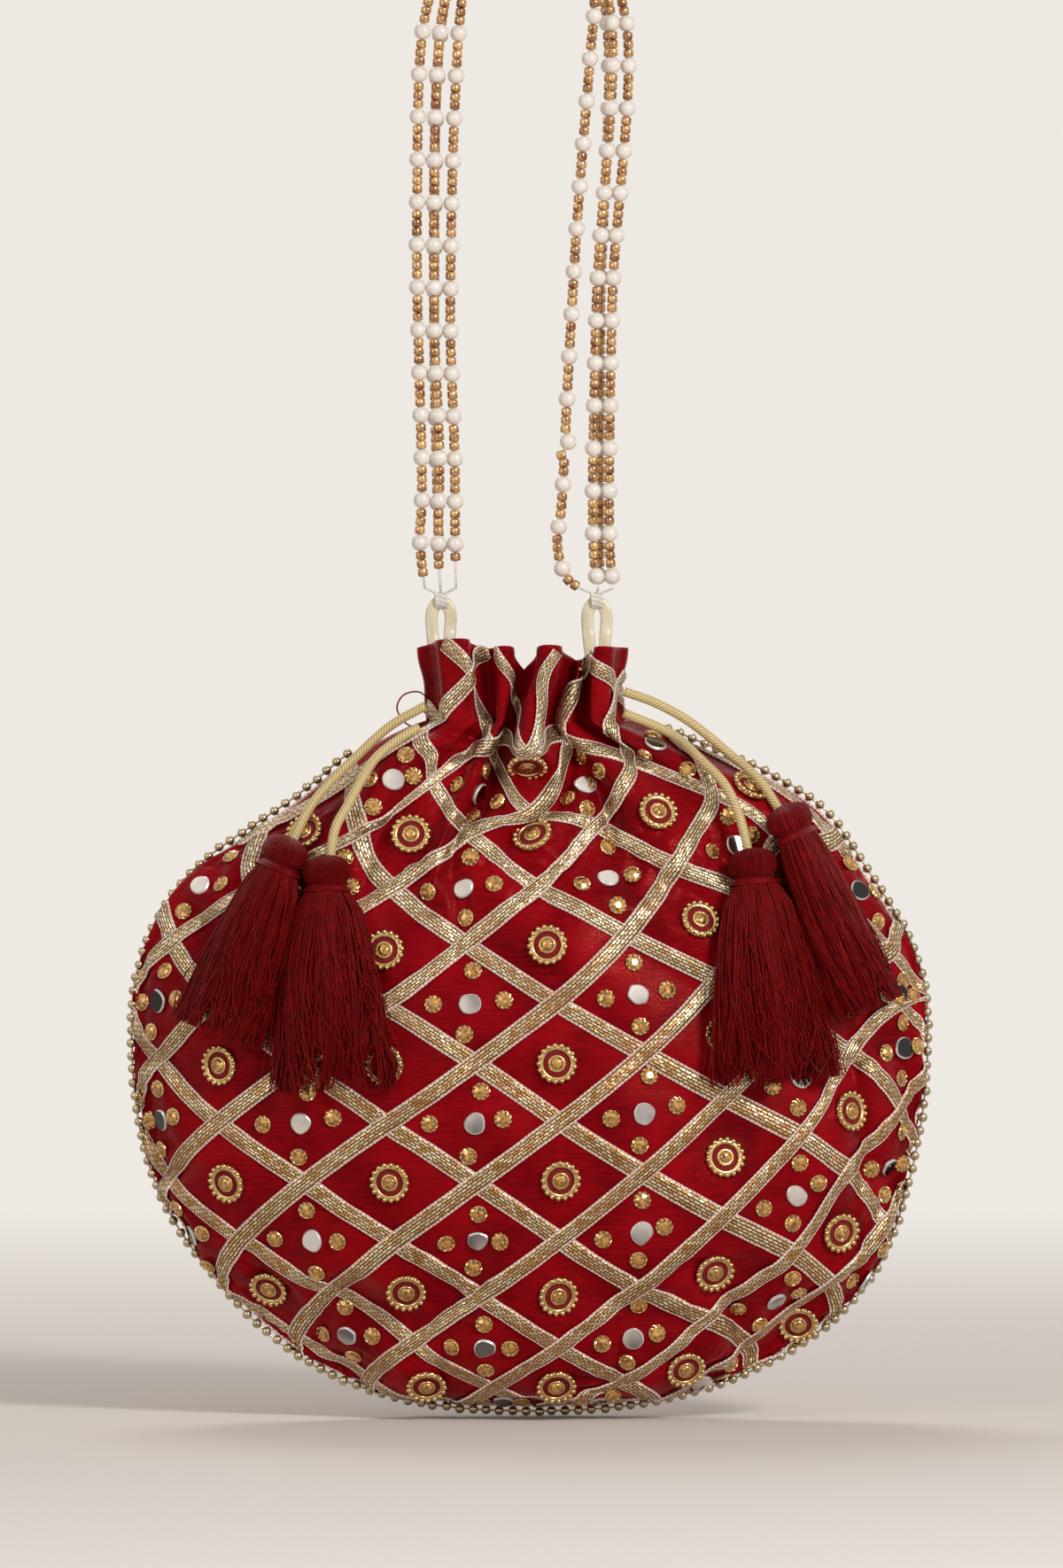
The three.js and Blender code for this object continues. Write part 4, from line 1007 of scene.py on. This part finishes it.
for side, name in SIDES.items():
    uv = np.stack(np.broadcast_arrays(
        across_lines[None, :] * cloth_half_width(up_lines)[:, None], up_lines[:, None]), axis=-1)
    mesh = mesh_from_grid(cloth[side], uv)
    if side > 0:
        mesh.flip_normals()
    panel = piece(name + "_satin", mesh, [satin], [name + "_panel"])
    wall = panel.modifiers.new("thickness", "SOLIDIFY")
    wall.thickness = CLOTH_THICKNESS * MM
    wall.offset = -1

# Ribbons: narrow woven gota, 5.1 mm wide with its edge threads, sewn down along both edges in two crossing sets that
# leave diamonds. The weft is flat metallised tape, the edges are pale pink thread loops. One set lies over the other.
RIBBON_WIDTH = 4.4
RIBBON_THICKNESS = 0.25
RIBBON_STEP = 1.5
EDGE_THREAD_RADIUS = 0.34
RAISED_UNDER, RAISED_OVER = 0.35, 0.8
RIBBON_ARCH = 0.12
RIBBON_OFFSETS = range(-25, 27, 2)
RIBBON_WIDEST, SEWN_WIDEST = 0.995, 0.992
SEWN_FROM_FOOT, SEWN_FROM_TOP = 3, 0.3
SHORTEST_RIBBON = 6

# How the sewn pattern has moved with the cloth: it rises towards the right, sinks again high up at the right seam and
# is drawn in there, and it is drawn down in the neck's middle and again over the tongue
RIGHT_RISE, RIGHT_RISE_WIDTH = 19, 96
SEAM_SINK, SEAM_SINK_ACROSS, SEAM_SINK_UP = 22, (84, 124), (88, 124)
SEAM_DRAW, SEAM_DRAW_ACROSS = 7, (70, 100)
NECK_DRAW, NECK_DRAW_WIDTH, NECK_DRAW_UP = 11, 25, (158, 182)
TONGUE_DRAW, TONGUE_DRAW_WIDTH, TONGUE_DRAW_UP = 9, 13, (196, 214)


def pattern_on_cloth(x, up):
    """Where a place of the drawn pattern lies on the hanging cloth: its share across, and millimetres up."""
    rise = RIGHT_RISE * np.clip(x / RIGHT_RISE_WIDTH, 0, 1) ** 1.6
    sink = SEAM_SINK * (smooth(*SEAM_SINK_ACROSS, x) * smooth(*SEAM_SINK_UP, up))
    at_neck = smooth(*NECK_DRAW_UP, up) * NECK_DRAW * hump(x, 1, LATTICE_ACROSS, NECK_DRAW_WIDTH)
    at_tongue = smooth(*TONGUE_DRAW_UP, up) * TONGUE_DRAW * hump(x, 1, LATTICE_ACROSS, TONGUE_DRAW_WIDTH)
    hang_up = up + rise - sink - at_neck - at_tongue
    hang_x = x - SEAM_DRAW * smooth(*SEAM_DRAW_ACROSS, x)
    return hang_x / np.maximum(1, cloth_half_width(hang_up)), hang_up


def pattern_place(side, x, up, widest, raised=0.0):
    """Places in millimetres on or over the cloth for places of the drawn pattern, kept within the cloth."""
    across, hang_up = pattern_on_cloth(x, up)
    return on_cloth(side, np.clip(across, -widest, widest), np.clip(hang_up, LOWEST_UP, TOP_UP), raised)[0]


diamond_side = math.hypot(DIAMOND_WIDTH, DIAMOND_HEIGHT)
ribbons = {}
for side in SIDES:
    bands, edges = [], []
    for slope in (-1, 1):
        aside = np.array([DIAMOND_HEIGHT, -slope * DIAMOND_WIDTH]) / diamond_side
        for offset in RIBBON_OFFSETS:
            ups = np.arange(LOWEST_UP - 20, TOP_UP + 24, RIBBON_STEP * DIAMOND_HEIGHT / diamond_side)
            xs = LATTICE_ACROSS + DIAMOND_WIDTH / 2 * (offset + slope * (ups - LATTICE_UP) / (DIAMOND_HEIGHT / 2))
            across, hang_up = pattern_on_cloth(xs, ups)
            kept = (np.abs(across) < SEWN_WIDEST) & (hang_up > LOWEST_UP + SEWN_FROM_FOOT)
            kept &= hang_up < TOP_UP - SEWN_FROM_TOP
            if kept.sum() < SHORTEST_RIBBON:
                continue
            first, last = np.flatnonzero(kept)[[0, -1]]
            xs, ups = xs[first:last + 1], ups[first:last + 1]
            raised = RAISED_OVER if slope > 0 else RAISED_UNDER

            offs = RIBBON_WIDTH / 2 * np.array([-0.93, -0.5, 0, 0.5, 0.93])
            arches = raised + RIBBON_ARCH * (1 - (offs / RIBBON_WIDTH * 2) ** 2)
            surface = np.stack([
                pattern_place(side, xs + aside[0] * off, ups + aside[1] * off, RIBBON_WIDEST, arch)
                for off, arch in zip(offs, arches)], axis=1)
            uv = np.stack(np.broadcast_arrays(offs[None, :], along(surface[:, 2])[:, None]), axis=-1)
            bands.append(mesh_from_grid(surface, uv))
            for off in (-RIBBON_WIDTH / 2, RIBBON_WIDTH / 2):
                line = pattern_place(side, xs + aside[0] * off, ups + aside[1] * off, RIBBON_WIDEST, raised)
                edges.append(tube(line, EDGE_THREAD_RADIUS, 4))
    ribbons[side] = (joined(bands), joined(edges))

# Gota: woven of flat metallised tape over red and gold thread. The tape shows as short bright floats in rows along the
# ribbon, drawn 1.8 by 0.8 mm so that they show, with dark gaps between them; the near-white floats are partly the
# tape's own brightness and partly painted glints. Spots about 17 mm wide are painted a darker red-brown, painted zones
# of weaker reflection, and the ribbon is crumpled at 1.5 mm. The upper half of the bag is painted brighter and more
# silvery, a painted highlight.
gota, tree, shader, coords = new_material("woven_metallised_gota", "#c9a878", 0.32, 0.72)
turned = add_node(
    tree, "ShaderNodeMapping", {}, {"Vector": coords.outputs["UV"], "Rotation": (0, 0, math.radians(90))})
# The near-white floats are partly the tape's own brightness and partly painted glints.
floats = add_node(
    tree, "ShaderNodeTexBrick", {"offset": 0.5},
    {"Vector": turned.outputs[0], "Scale": 1.0, "Brick Width": 1.8 * MM, "Row Height": 0.8 * MM,
     "Mortar Size": 0.17 * MM, "Mortar Smooth": 0.3, "Color1": linear("#fff0cc"), "Color2": linear("#c8944c"),
     "Mortar": linear("#563816")})
parts = add_node(tree, "ShaderNodeSeparateXYZ", {}, {"Vector": coords.outputs["Object"]})
# Painted highlight: the upper half of the bag is painted brighter and more silvery.
painted_upper_highlight = add_node(
    tree, "ShaderNodeMapRange", {},
    {"Value": parts.outputs["Z"], "From Min": -330 * MM, "From Max": -270 * MM, "To Max": 0.85})
painted_silver_highlight = add_node(
    tree, "ShaderNodeHueSaturation", {},
    {"Hue": 0.512, "Saturation": 0.8, "Value": 1.06, "Fac": painted_upper_highlight.outputs[0], "Color": floats.outputs["Color"]})
zones = add_node(tree, "ShaderNodeTexNoise", {}, {"Vector": coords.outputs["Object"], "Scale": 60.0, "Detail": 3.0})
# Painted reflection: spots about 17 mm wide are painted a darker red-brown, zones of weaker reflection.
painted_reflection_zones = add_node(
    tree, "ShaderNodeMapRange", {}, {"Value": zones.outputs["Fac"], "From Min": 0.5, "From Max": 0.68, "To Max": 0.45})
add_node(
    tree, "ShaderNodeMixRGB", {},
    {"Fac": painted_reflection_zones.outputs[0], "Color1": painted_silver_highlight.outputs[0], "Color2": linear("#9a6038")},
    shader.inputs["Base Color"])
ridge = add_node(
    tree, "ShaderNodeBump", {"invert": True}, {"Height": floats.outputs["Fac"], "Strength": 0.8, "Distance": 0.12 * MM})
crumples = add_node(tree, "ShaderNodeTexNoise", {}, {"Vector": coords.outputs["Object"], "Scale": 650.0, "Detail": 2.0})
add_node(
    tree, "ShaderNodeBump", {},
    {"Height": crumples.outputs["Fac"], "Strength": 0.85, "Distance": 0.5 * MM, "Normal": ridge.outputs[0]},
    shader.inputs["Normal"])

# Edge thread: pale pink spun thread in small loops, 1.3 mm long, painted lighter where each loop stands up and darker
# between loops, a painted highlight and painted shade.
edge_thread, tree, shader, coords = new_material("pale_spun_thread", "#ecd5cb", 0.7)
loops = add_node(
    tree, "ShaderNodeTexWave", {"wave_type": "BANDS", "bands_direction": "Y"},
    {"Vector": coords.outputs["UV"], "Scale": bands_apart(1.3), "Distortion": 1.0})
# Painted highlight and shade: lighter where each loop stands up, darker between loops.
add_node(
    tree, "ShaderNodeMixRGB", {},
    {"Fac": loops.outputs["Fac"], "Color1": linear("#d3aa9c"), "Color2": linear("#fbeee8")},
    shader.inputs["Base Color"])

for side, name in SIDES.items():
    bands, edges = ribbons[side]
    ribbon = piece("gota_ribbons_" + name, bands, [gota], ["ribbon_lattice_" + name])
    wall = ribbon.modifiers.new("thickness", "SOLIDIFY")
    wall.thickness = RIBBON_THICKNESS * MM
    wall.offset = -side
    piece("ribbon_edge_threads_" + name, edges, [edge_thread])


# Ring motifs: in every other diamond a scalloped ring of gilt beads sewn round a red felt pad, with a foil-backed
# amber stone in a dotted gilt rim at its middle. The stones are faceted acrylic.
RING_RADIUS, RING_ROOM, RING_REACH = 5.05, 6.5, 4.5
SCALLOPS, SCALLOP_RADIUS, SCALLOP_LIFT = 17, 0.84, 0.75
STONE_RADIUS, STONE_LIFT, STONE_ROOM, STONE_REACH = 2.5, 0.35, 3.5, 1.8
CUP_STEPS = 20
CLAW_GAP = 0.5


def lathe(profile, steps, material_index=0):
    """A turned shape from a profile of (radius, height) points in millimetres, spun about Z."""
    bm = bmesh.new()
    verts = [bm.verts.new(Vector((r, 0, h)) * MM) for r, h in profile]
    edges = [bm.edges.new(pair) for pair in zip(verts, verts[1:])]
    bmesh.ops.spin(
        bm, geom=verts + edges, cent=(0, 0, 0), axis=(0, 0, 1), angle=2 * math.pi, steps=steps, use_merge=True)
    bmesh.ops.remove_doubles(bm, verts=bm.verts, dist=1e-6)
    bmesh.ops.recalc_face_normals(bm, faces=bm.faces)
    for face in bm.faces:
        face.material_index = material_index
    return finished(bm, "turned")


def faceted_stone(radius):
    """A foil-backed stone: flat table, eight crown facets, and a rim of small claws that holds it."""
    stone = lathe([(0, 1.25), (radius * 0.36, 1.25), (radius * 0.74, 0.85), (radius * 0.74, 0.3)], 8, 1)
    cup = lathe([(radius * 0.72, 0.6), (radius * 0.86, 0.95), (radius, 0.45), (radius, 0), (0, 0)], CUP_STEPS)
    for vert in cup.vertices:
        turn = math.atan2(vert.co.y, vert.co.x) / (2 * math.pi / CUP_STEPS)
        if vert.co.z > 0.9 * MM and round(turn) % 2:
            vert.co = vert.co * 1.06 - Vector((0, 0, CLAW_GAP)) * MM
    return joined([stone, cup])


felt = lathe([(0, 0.35), (3.3, 0.35), (3.9, 0.1), (3.9, 0)], 12, 2)
washer = lathe([(3.7, 0.1), (3.8, 0.75), (4.4, 1.05), (5.1, 0.8), (5.5, 0.15), (5.5, 0)], 20)
scallop_turns = [2 * math.pi * k / SCALLOPS for k in range(SCALLOPS)]
scallops = copies(round_bead(SCALLOP_RADIUS, 7, 4), [
    Matrix.Translation(Vector((RING_RADIUS * math.cos(turn), RING_RADIUS * math.sin(turn), SCALLOP_LIFT)) * MM)
    for turn in scallop_turns])
ring_stone = faceted_stone(STONE_RADIUS)
ring_stone.transform(Matrix.Translation((0, 0, STONE_LIFT * MM)))
ring_motif = joined([felt, washer, scallops, ring_stone])
small_stone = faceted_stone(STONE_RADIUS)

# Gilt: cast and plated beads, warm pale gold, duller in spots about 1 mm wide.
gilt, tree, shader, coords = new_material("plated_gilt_metal", "#d3ab62", 0.25, 0.95)
worn = add_node(tree, "ShaderNodeTexNoise", {}, {"Vector": coords.outputs["Object"], "Scale": 900.0, "Detail": 2.0})
add_node(
    tree, "ShaderNodeMixRGB", {},
    {"Fac": worn.outputs["Fac"], "Color1": linear("#986a32"), "Color2": linear("#f2d69c")},
    shader.inputs["Base Color"])

# Foil-backed acrylic: clear amber over foil, its facets' flash painted in as dark and bright spots under 1 mm, painted
# glints.
amber, tree, shader, coords = new_material(
    "foil_backed_amber_acrylic", "#cf8f2c", 0.08, 0.7, {"Coat Weight": 1.0, "Coat Roughness": 0.03})
# Painted glints: random spots under 1 mm painted dark and bright for the facets' flash.
painted_glints = add_node(
    tree, "ShaderNodeTexVoronoi", {"feature": "F1"}, {"Vector": coords.outputs["Object"], "Scale": 1300.0})
add_node(
    tree, "ShaderNodeMixRGB", {},
    {"Fac": painted_glints.outputs["Color"], "Color1": linear("#5e2c04"), "Color2": linear("#f6bc60")},
    shader.inputs["Base Color"])

# Felt: pressed red wool, matt, with fibres about half a millimetre apart.
red_felt, tree, shader, coords = new_material("red_pressed_felt", "#7c0610", 0.95)
fibres = add_node(tree, "ShaderNodeTexNoise", {}, {"Vector": coords.outputs["Object"], "Scale": 1800.0, "Detail": 3.0})
add_node(
    tree, "ShaderNodeMixRGB", {},
    {"Fac": fibres.outputs["Fac"], "Color1": linear("#560208"), "Color2": linear("#a01020")},
    shader.inputs["Base Color"])


def sewn_at(side, x, up, reach, raised, turned):
    """A matrix that stands a motif on the cloth at a place of the drawn pattern, level with the cloth under its rim."""
    turns = np.arange(8) * np.pi / 4
    around = pattern_place(side, x + reach * np.cos(turns), up + reach * np.sin(turns), 1)
    place = around.mean(axis=0)
    face = np.cross(around[0] - around[4], around[2] - around[6])
    face = face * np.sign(face[1] * side) / np.linalg.norm(face)
    height = ((around - place) @ face).max() * 0.6 + raised
    aside = np.cross([0.0, 0.0, 1.0], face)
    aside = aside / max(1e-9, np.linalg.norm(aside))
    return frame_at(place + face * height, face, aside) @ Matrix.Rotation(turned, 4, "Z")


def fits_panel(x, up, margin):
    """Whether a motif has room between the seam and the neck."""
    across, hang_up = pattern_on_cloth(np.array(x, float), np.array(up, float))
    room = (1 - abs(float(across))) * float(cloth_half_width(hang_up))
    return room > margin and LOWEST_UP + margin < hang_up < CHANNEL_UP - 4


# Mirrors: in the diamonds between, a small cut glass mirror with a ground edge, roughly round, and four stones
# about it. Those on the front near the bag's left and right edge face away from the light and are painted near black, a
# painted dark reflection.
MIRROR_RADIUS, MIRROR_ROOM, MIRROR_REACH = 3.3, 4, 2.6
MIRROR_THICKNESS, GROUND_WIDTH = 0.8, 0.35
STONES_BESIDE = [(-10, -0.5), (8.6, 0.5), (1.2, 8.6), (-0.8, -8.4)]
# Past this distance from the middle, front mirrors get the painted dark reflection.
PAINTED_DARK_MIRRORS_FROM = 92 * MM


def cut_mirror(corners, seed, plate):
    """A small plate cut by hand to a rough round with so many corners; plate is its glass's material index."""
    roll = np.random.default_rng(seed)
    bm = bmesh.new()
    bmesh.ops.create_circle(bm, cap_ends=True, segments=corners, radius=MIRROR_RADIUS * MM)
    for vert in bm.verts:
        vert.co *= 1 + roll.normal(0, 0.08)
    bmesh.ops.bevel(
        bm, geom=list(bm.verts), offset=0.9 * MM, segments=2, profile=0.5, affect="VERTICES", material=-1)
    solid = bmesh.ops.extrude_face_region(bm, geom=list(bm.faces))
    bmesh.ops.translate(
        bm, vec=(0, 0, MIRROR_THICKNESS * MM), verts=[v for v in solid["geom"] if isinstance(v, bmesh.types.BMVert)])
    top = max(bm.faces, key=lambda f: f.calc_center_median().z)
    bmesh.ops.bevel(
        bm, geom=list(top.edges), offset=GROUND_WIDTH * MM, segments=1, profile=0.5, affect="EDGES", material=-1)
    for face in bm.faces:
        face.material_index = plate if abs(face.normal.z) > 0.99 else 1
    bmesh.ops.recalc_face_normals(bm, faces=bm.faces)
    return finished(bm, "mirror")


# Mirror glass: a silvered sheet, grey where it shows the room and clouded from mirror to mirror, with a bright ground
# edge.
mirror_glass, tree, shader, coords = new_material("silvered_mirror_glass", "#8f8b88", 0.08, 1.0)
smears = add_node(tree, "ShaderNodeTexNoise", {}, {"Vector": coords.outputs["Object"], "Scale": 45.0, "Detail": 3.0})
clouded = add_node(
    tree, "ShaderNodeMapRange", {}, {"Value": smears.outputs["Fac"], "From Min": 0.4, "From Max": 0.6})
add_node(
    tree, "ShaderNodeMixRGB", {},
    {"Fac": clouded.outputs[0], "Color1": linear("#7c7878"), "Color2": linear("#f2eae4")},
    shader.inputs["Base Color"])
ground_edge = new_material("ground_glass_edge", "#d9d6d2", 0.3, 0.6)[0]
# Painted dark reflection: a near-black glass for the mirrors that face away from the light.
painted_dark_mirror = new_material("mirror_glass_painted_dark", "#0c0b0c", 0.08)[0]

for side, name in SIDES.items():
    rings, stones, mirrors = [], [], []
    for across_step in range(-6, 7):
        for up_step in range(-4, 5):
            is_ring = across_step % 2 == 0
            x = LATTICE_ACROSS + DIAMOND_WIDTH / 2 * across_step
            up = LATTICE_UP + DIAMOND_HEIGHT * (up_step + (0 if is_ring else 0.5))
            if is_ring:
                if fits_panel(x, up, RING_ROOM):
                    x, up = x + dice.normal(0, 0.5), up + dice.normal(0, 0.5)
                    rings.append(sewn_at(side, x, up, RING_REACH, 0.1, dice.uniform(0, 6)))
                continue
            if fits_panel(x, up, MIRROR_ROOM):
                mirrors.append((sewn_at(side, x, up, MIRROR_REACH, 0.15, dice.uniform(0, 6)), dice.integers(6, 9)))
            for off_x, off_up in STONES_BESIDE:
                at_x, at_up = x + off_x + dice.normal(0, 0.9), up + off_up + dice.normal(0, 0.6)
                if fits_panel(at_x, at_up, STONE_ROOM):
                    stones.append(sewn_at(side, at_x, at_up, STONE_REACH, 0.1, dice.uniform(0, 6)))
    piece("ring_motifs_" + name, copies(ring_motif, rings, None), [gilt, amber, red_felt])
    piece("stones_" + name, copies(small_stone, stones, None), [gilt, amber], rounded=False)
    cut = []
    for k, (matrix, corners) in enumerate(mirrors):
        # Front mirrors near the left and right edge get the painted dark reflection's glass.
        painted_dark = side < 0 and abs(matrix.translation.x) > PAINTED_DARK_MIRRORS_FROM
        mesh = cut_mirror(int(corners), 11 + k, 2 if painted_dark else 0)
        mesh.transform(matrix)
        cut.append(mesh)
    piece(
        "mirrors_" + name, joined(cut), [mirror_glass, ground_edge, painted_dark_mirror], rounded=False)

# Edging: metal-coloured balls, 2.8 mm, sewn 3.7 mm apart along the seam outside a narrow gimp of pink and gold
# thread, from the left shoulder round the foot to the right shoulder.
BALL_DIAMETER = 2.8
BALL_PITCH = 3.7
BALL_GAP = 0.5
EDGING_LEFT_END = 182
EDGING_RIGHT_END = 189
GIMP_RADIUS, GIMP_RIPPLE = 0.55, 0.12


def seam_line(outset):
    """The side seam's line from the left shoulder to the right one, moved outwards."""
    turn = np.linspace(-1, 1, 400)
    top = np.where(turn < 0, EDGING_LEFT_END, EDGING_RIGHT_END)
    height = top * (1 - np.cos(np.pi / 2 * np.abs(turn)))
    x = middle(height) + np.sign(turn) * half_width(height)
    line = np.column_stack([x, np.zeros_like(x), height - HOLD_HEIGHT])
    forward = np.gradient(line, axis=0)
    forward /= np.linalg.norm(forward, axis=1)[:, None]
    return line + outset * np.column_stack([forward[:, 2], np.zeros_like(x), -forward[:, 0]])


# Champagne-plated plastic: a metal skin over a moulded ball, smooth, duller in patches about 3 mm wide.
champagne, tree, shader, coords = new_material("champagne_plated_bead", "#b5a587", 0.2, 0.95)
dulled = add_node(tree, "ShaderNodeTexNoise", {}, {"Vector": coords.outputs["Object"], "Scale": 300.0, "Detail": 2.0})
add_node(
    tree, "ShaderNodeMixRGB", {},
    {"Fac": dulled.outputs["Fac"], "Color1": linear("#8f7f60"), "Color2": linear("#d6c6a6")},
    shader.inputs["Base Color"])

ball_line = seam_line(BALL_DIAMETER / 2 + BALL_GAP)
seam_length = along(ball_line)[-1]
ball_count = int(seam_length / BALL_PITCH)
ball_places = at_distances(ball_line, np.linspace(0, seam_length, ball_count))
ball_places[:, 1] += dice.normal(0, 0.25, ball_count)
ball_places[:, [0, 2]] += dice.normal(0, 0.12, (ball_count, 2))
ball = round_bead(BALL_DIAMETER / 2, 10, 7)
balls = copies(ball, [Matrix.Translation(Vector(p) * MM) for p in ball_places])
ball_string = tube(at_distances(ball_line, np.arange(0, seam_length, 2.0)), 0.3, 5)
piece("edging_balls", joined([balls, ball_string]), [champagne], ["bead_edging"])

gimp_line = seam_line(0.1)
steps = np.arange(0, along(gimp_line)[-1], 1.0)
gimp = at_distances(gimp_line, steps)
gimp_mesh = tube(gimp, GIMP_RADIUS + GIMP_RIPPLE * np.cos(steps * np.pi), 6)
piece("seam_gimp", gimp_mesh, [edge_thread])

# Hanging loops: a narrow folded satin ribbon, caught in the ruffle's corner seam at each side. White thread wound
# round each loop's top carries the four bead strands.
LOOPS = {"left": -23, "right": 21}
LOOP_WIDTH = 4.8
LOOP_TOP = 228 - HOLD_HEIGHT
LOOP_BEND = 1.3
LOOP_FOOT = 209
STRAP_THINNER, STRAP_WIDER = 0.7, 1.8
TIE_TURNS, TIE_STEPS, TIE_RADIUS = 5, 120, 0.4
TIE_HALF_LENGTH, TIE_DEPTH, TIE_HEIGHT = 1.7, 1.6, 2.1

# Folded satin ribbon: pale cream-gold, crushed into fine creases about 1 mm apart that run along it, the creases
# painted darker and the ridges lighter, a painted shade and highlight.

loop_satin, tree, shader, coords = new_material(
    "folded_satin_ribbon", "#e6d7a8", 0.32, finish={"Sheen Weight": 0.3, "Anisotropic": 0.5})
crush = add_node(tree, "ShaderNodeMapping", {}, {"Vector": coords.outputs["UV"], "Scale": (900, 160, 1)})
creases = add_node(tree, "ShaderNodeTexNoise", {}, {"Vector": crush.outputs[0], "Scale": 1.0, "Detail": 3.0})
# Painted shade and highlight: darker in the creases, lighter on the ridges.
add_node(
    tree, "ShaderNodeMixRGB", {},
    {"Fac": creases.outputs["Fac"], "Color1": linear("#d2b880"), "Color2": linear("#fdf8e6")},
    shader.inputs["Base Color"])
add_node(
    tree, "ShaderNodeBump", {}, {"Height": creases.outputs["Fac"], "Strength": 0.5, "Distance": 0.2 * MM},
    shader.inputs["Normal"])

# White cotton thread: matt, with its twist 0.6 mm apart painted as darker bands, a painted shade between the plies.
white_thread, tree, shader, coords = new_material("white_cotton_thread", "#efe9e0", 0.75)
twist = add_node(
    tree, "ShaderNodeTexWave", {"wave_type": "BANDS", "bands_direction": "DIAGONAL"},
    {"Vector": coords.outputs["UV"], "Scale": bands_apart(0.6)})
# Painted shade: the twist shows as darker bands between the plies.
add_node(
    tree, "ShaderNodeMixRGB", {},
    {"Fac": twist.outputs["Fac"], "Color1": linear("#cfc5b8"), "Color2": linear("#fbf8f3")},
    shader.inputs["Base Color"])

for name, x in LOOPS.items():
    half = LOOP_WIDTH / 2
    feet = [on_front(x + off, LOOP_FOOT, -CLOTH_THICKNESS - 4) for off in (-0.6 * half, 0.6 * half)]
    low, high = LOOP_FOOT + 8 - HOLD_HEIGHT, LOOP_TOP - 4
    top = np.array([x, 0, LOOP_TOP - LOOP_BEND])
    route = [feet[0], (x - half, 0, low), (x - half, 0, high), top, (x + half, 0, high), (x + half, 0, low), feet[1]]
    line = line_through([np.array(p, float) for p in route], 10)
    strap = tube(line, 1.0, 14)
    _, aside = directions(line)
    places = np.empty(len(strap.vertices) * 3)
    strap.vertices.foreach_get("co", places)
    places = places.reshape(-1, 3) / MM
    nearest = np.linalg.norm(places[:, None, :] - line[None, :, :], axis=2).argmin(axis=1)
    off = places - line[nearest]
    through = (off * aside[nearest]).sum(axis=1)[:, None] * aside[nearest]
    wide = off - through
    flattened = line[nearest] + through * STRAP_THINNER + wide * STRAP_WIDER
    strap.vertices.foreach_set("co", (flattened * MM).ravel())
    piece("satin_loop_" + name, strap, [loop_satin], ["loop_" + name])

    turns = np.linspace(0, 2 * np.pi * TIE_TURNS, TIE_STEPS)
    wind = top + np.column_stack([
        np.linspace(-TIE_HALF_LENGTH, TIE_HALF_LENGTH, TIE_STEPS), TIE_DEPTH * np.cos(turns),
        TIE_HEIGHT * np.sin(turns)])
    ends = []
    for number, line in strand_lines.items():
        bead_end = line[0] if name == "left" else line[-1]
        end = line_through([top + (0, 0, 1.6), (top + bead_end) / 2 + (0, 0, 0.8), bead_end], 4)
        ends.append(tube(end, BEAD_THREAD_RADIUS, 5))
    tied = joined([tube(wind, TIE_RADIUS, 6)] + ends)
    piece("white_tie_" + name, tied, [white_thread], ["handle_tie_" + name])
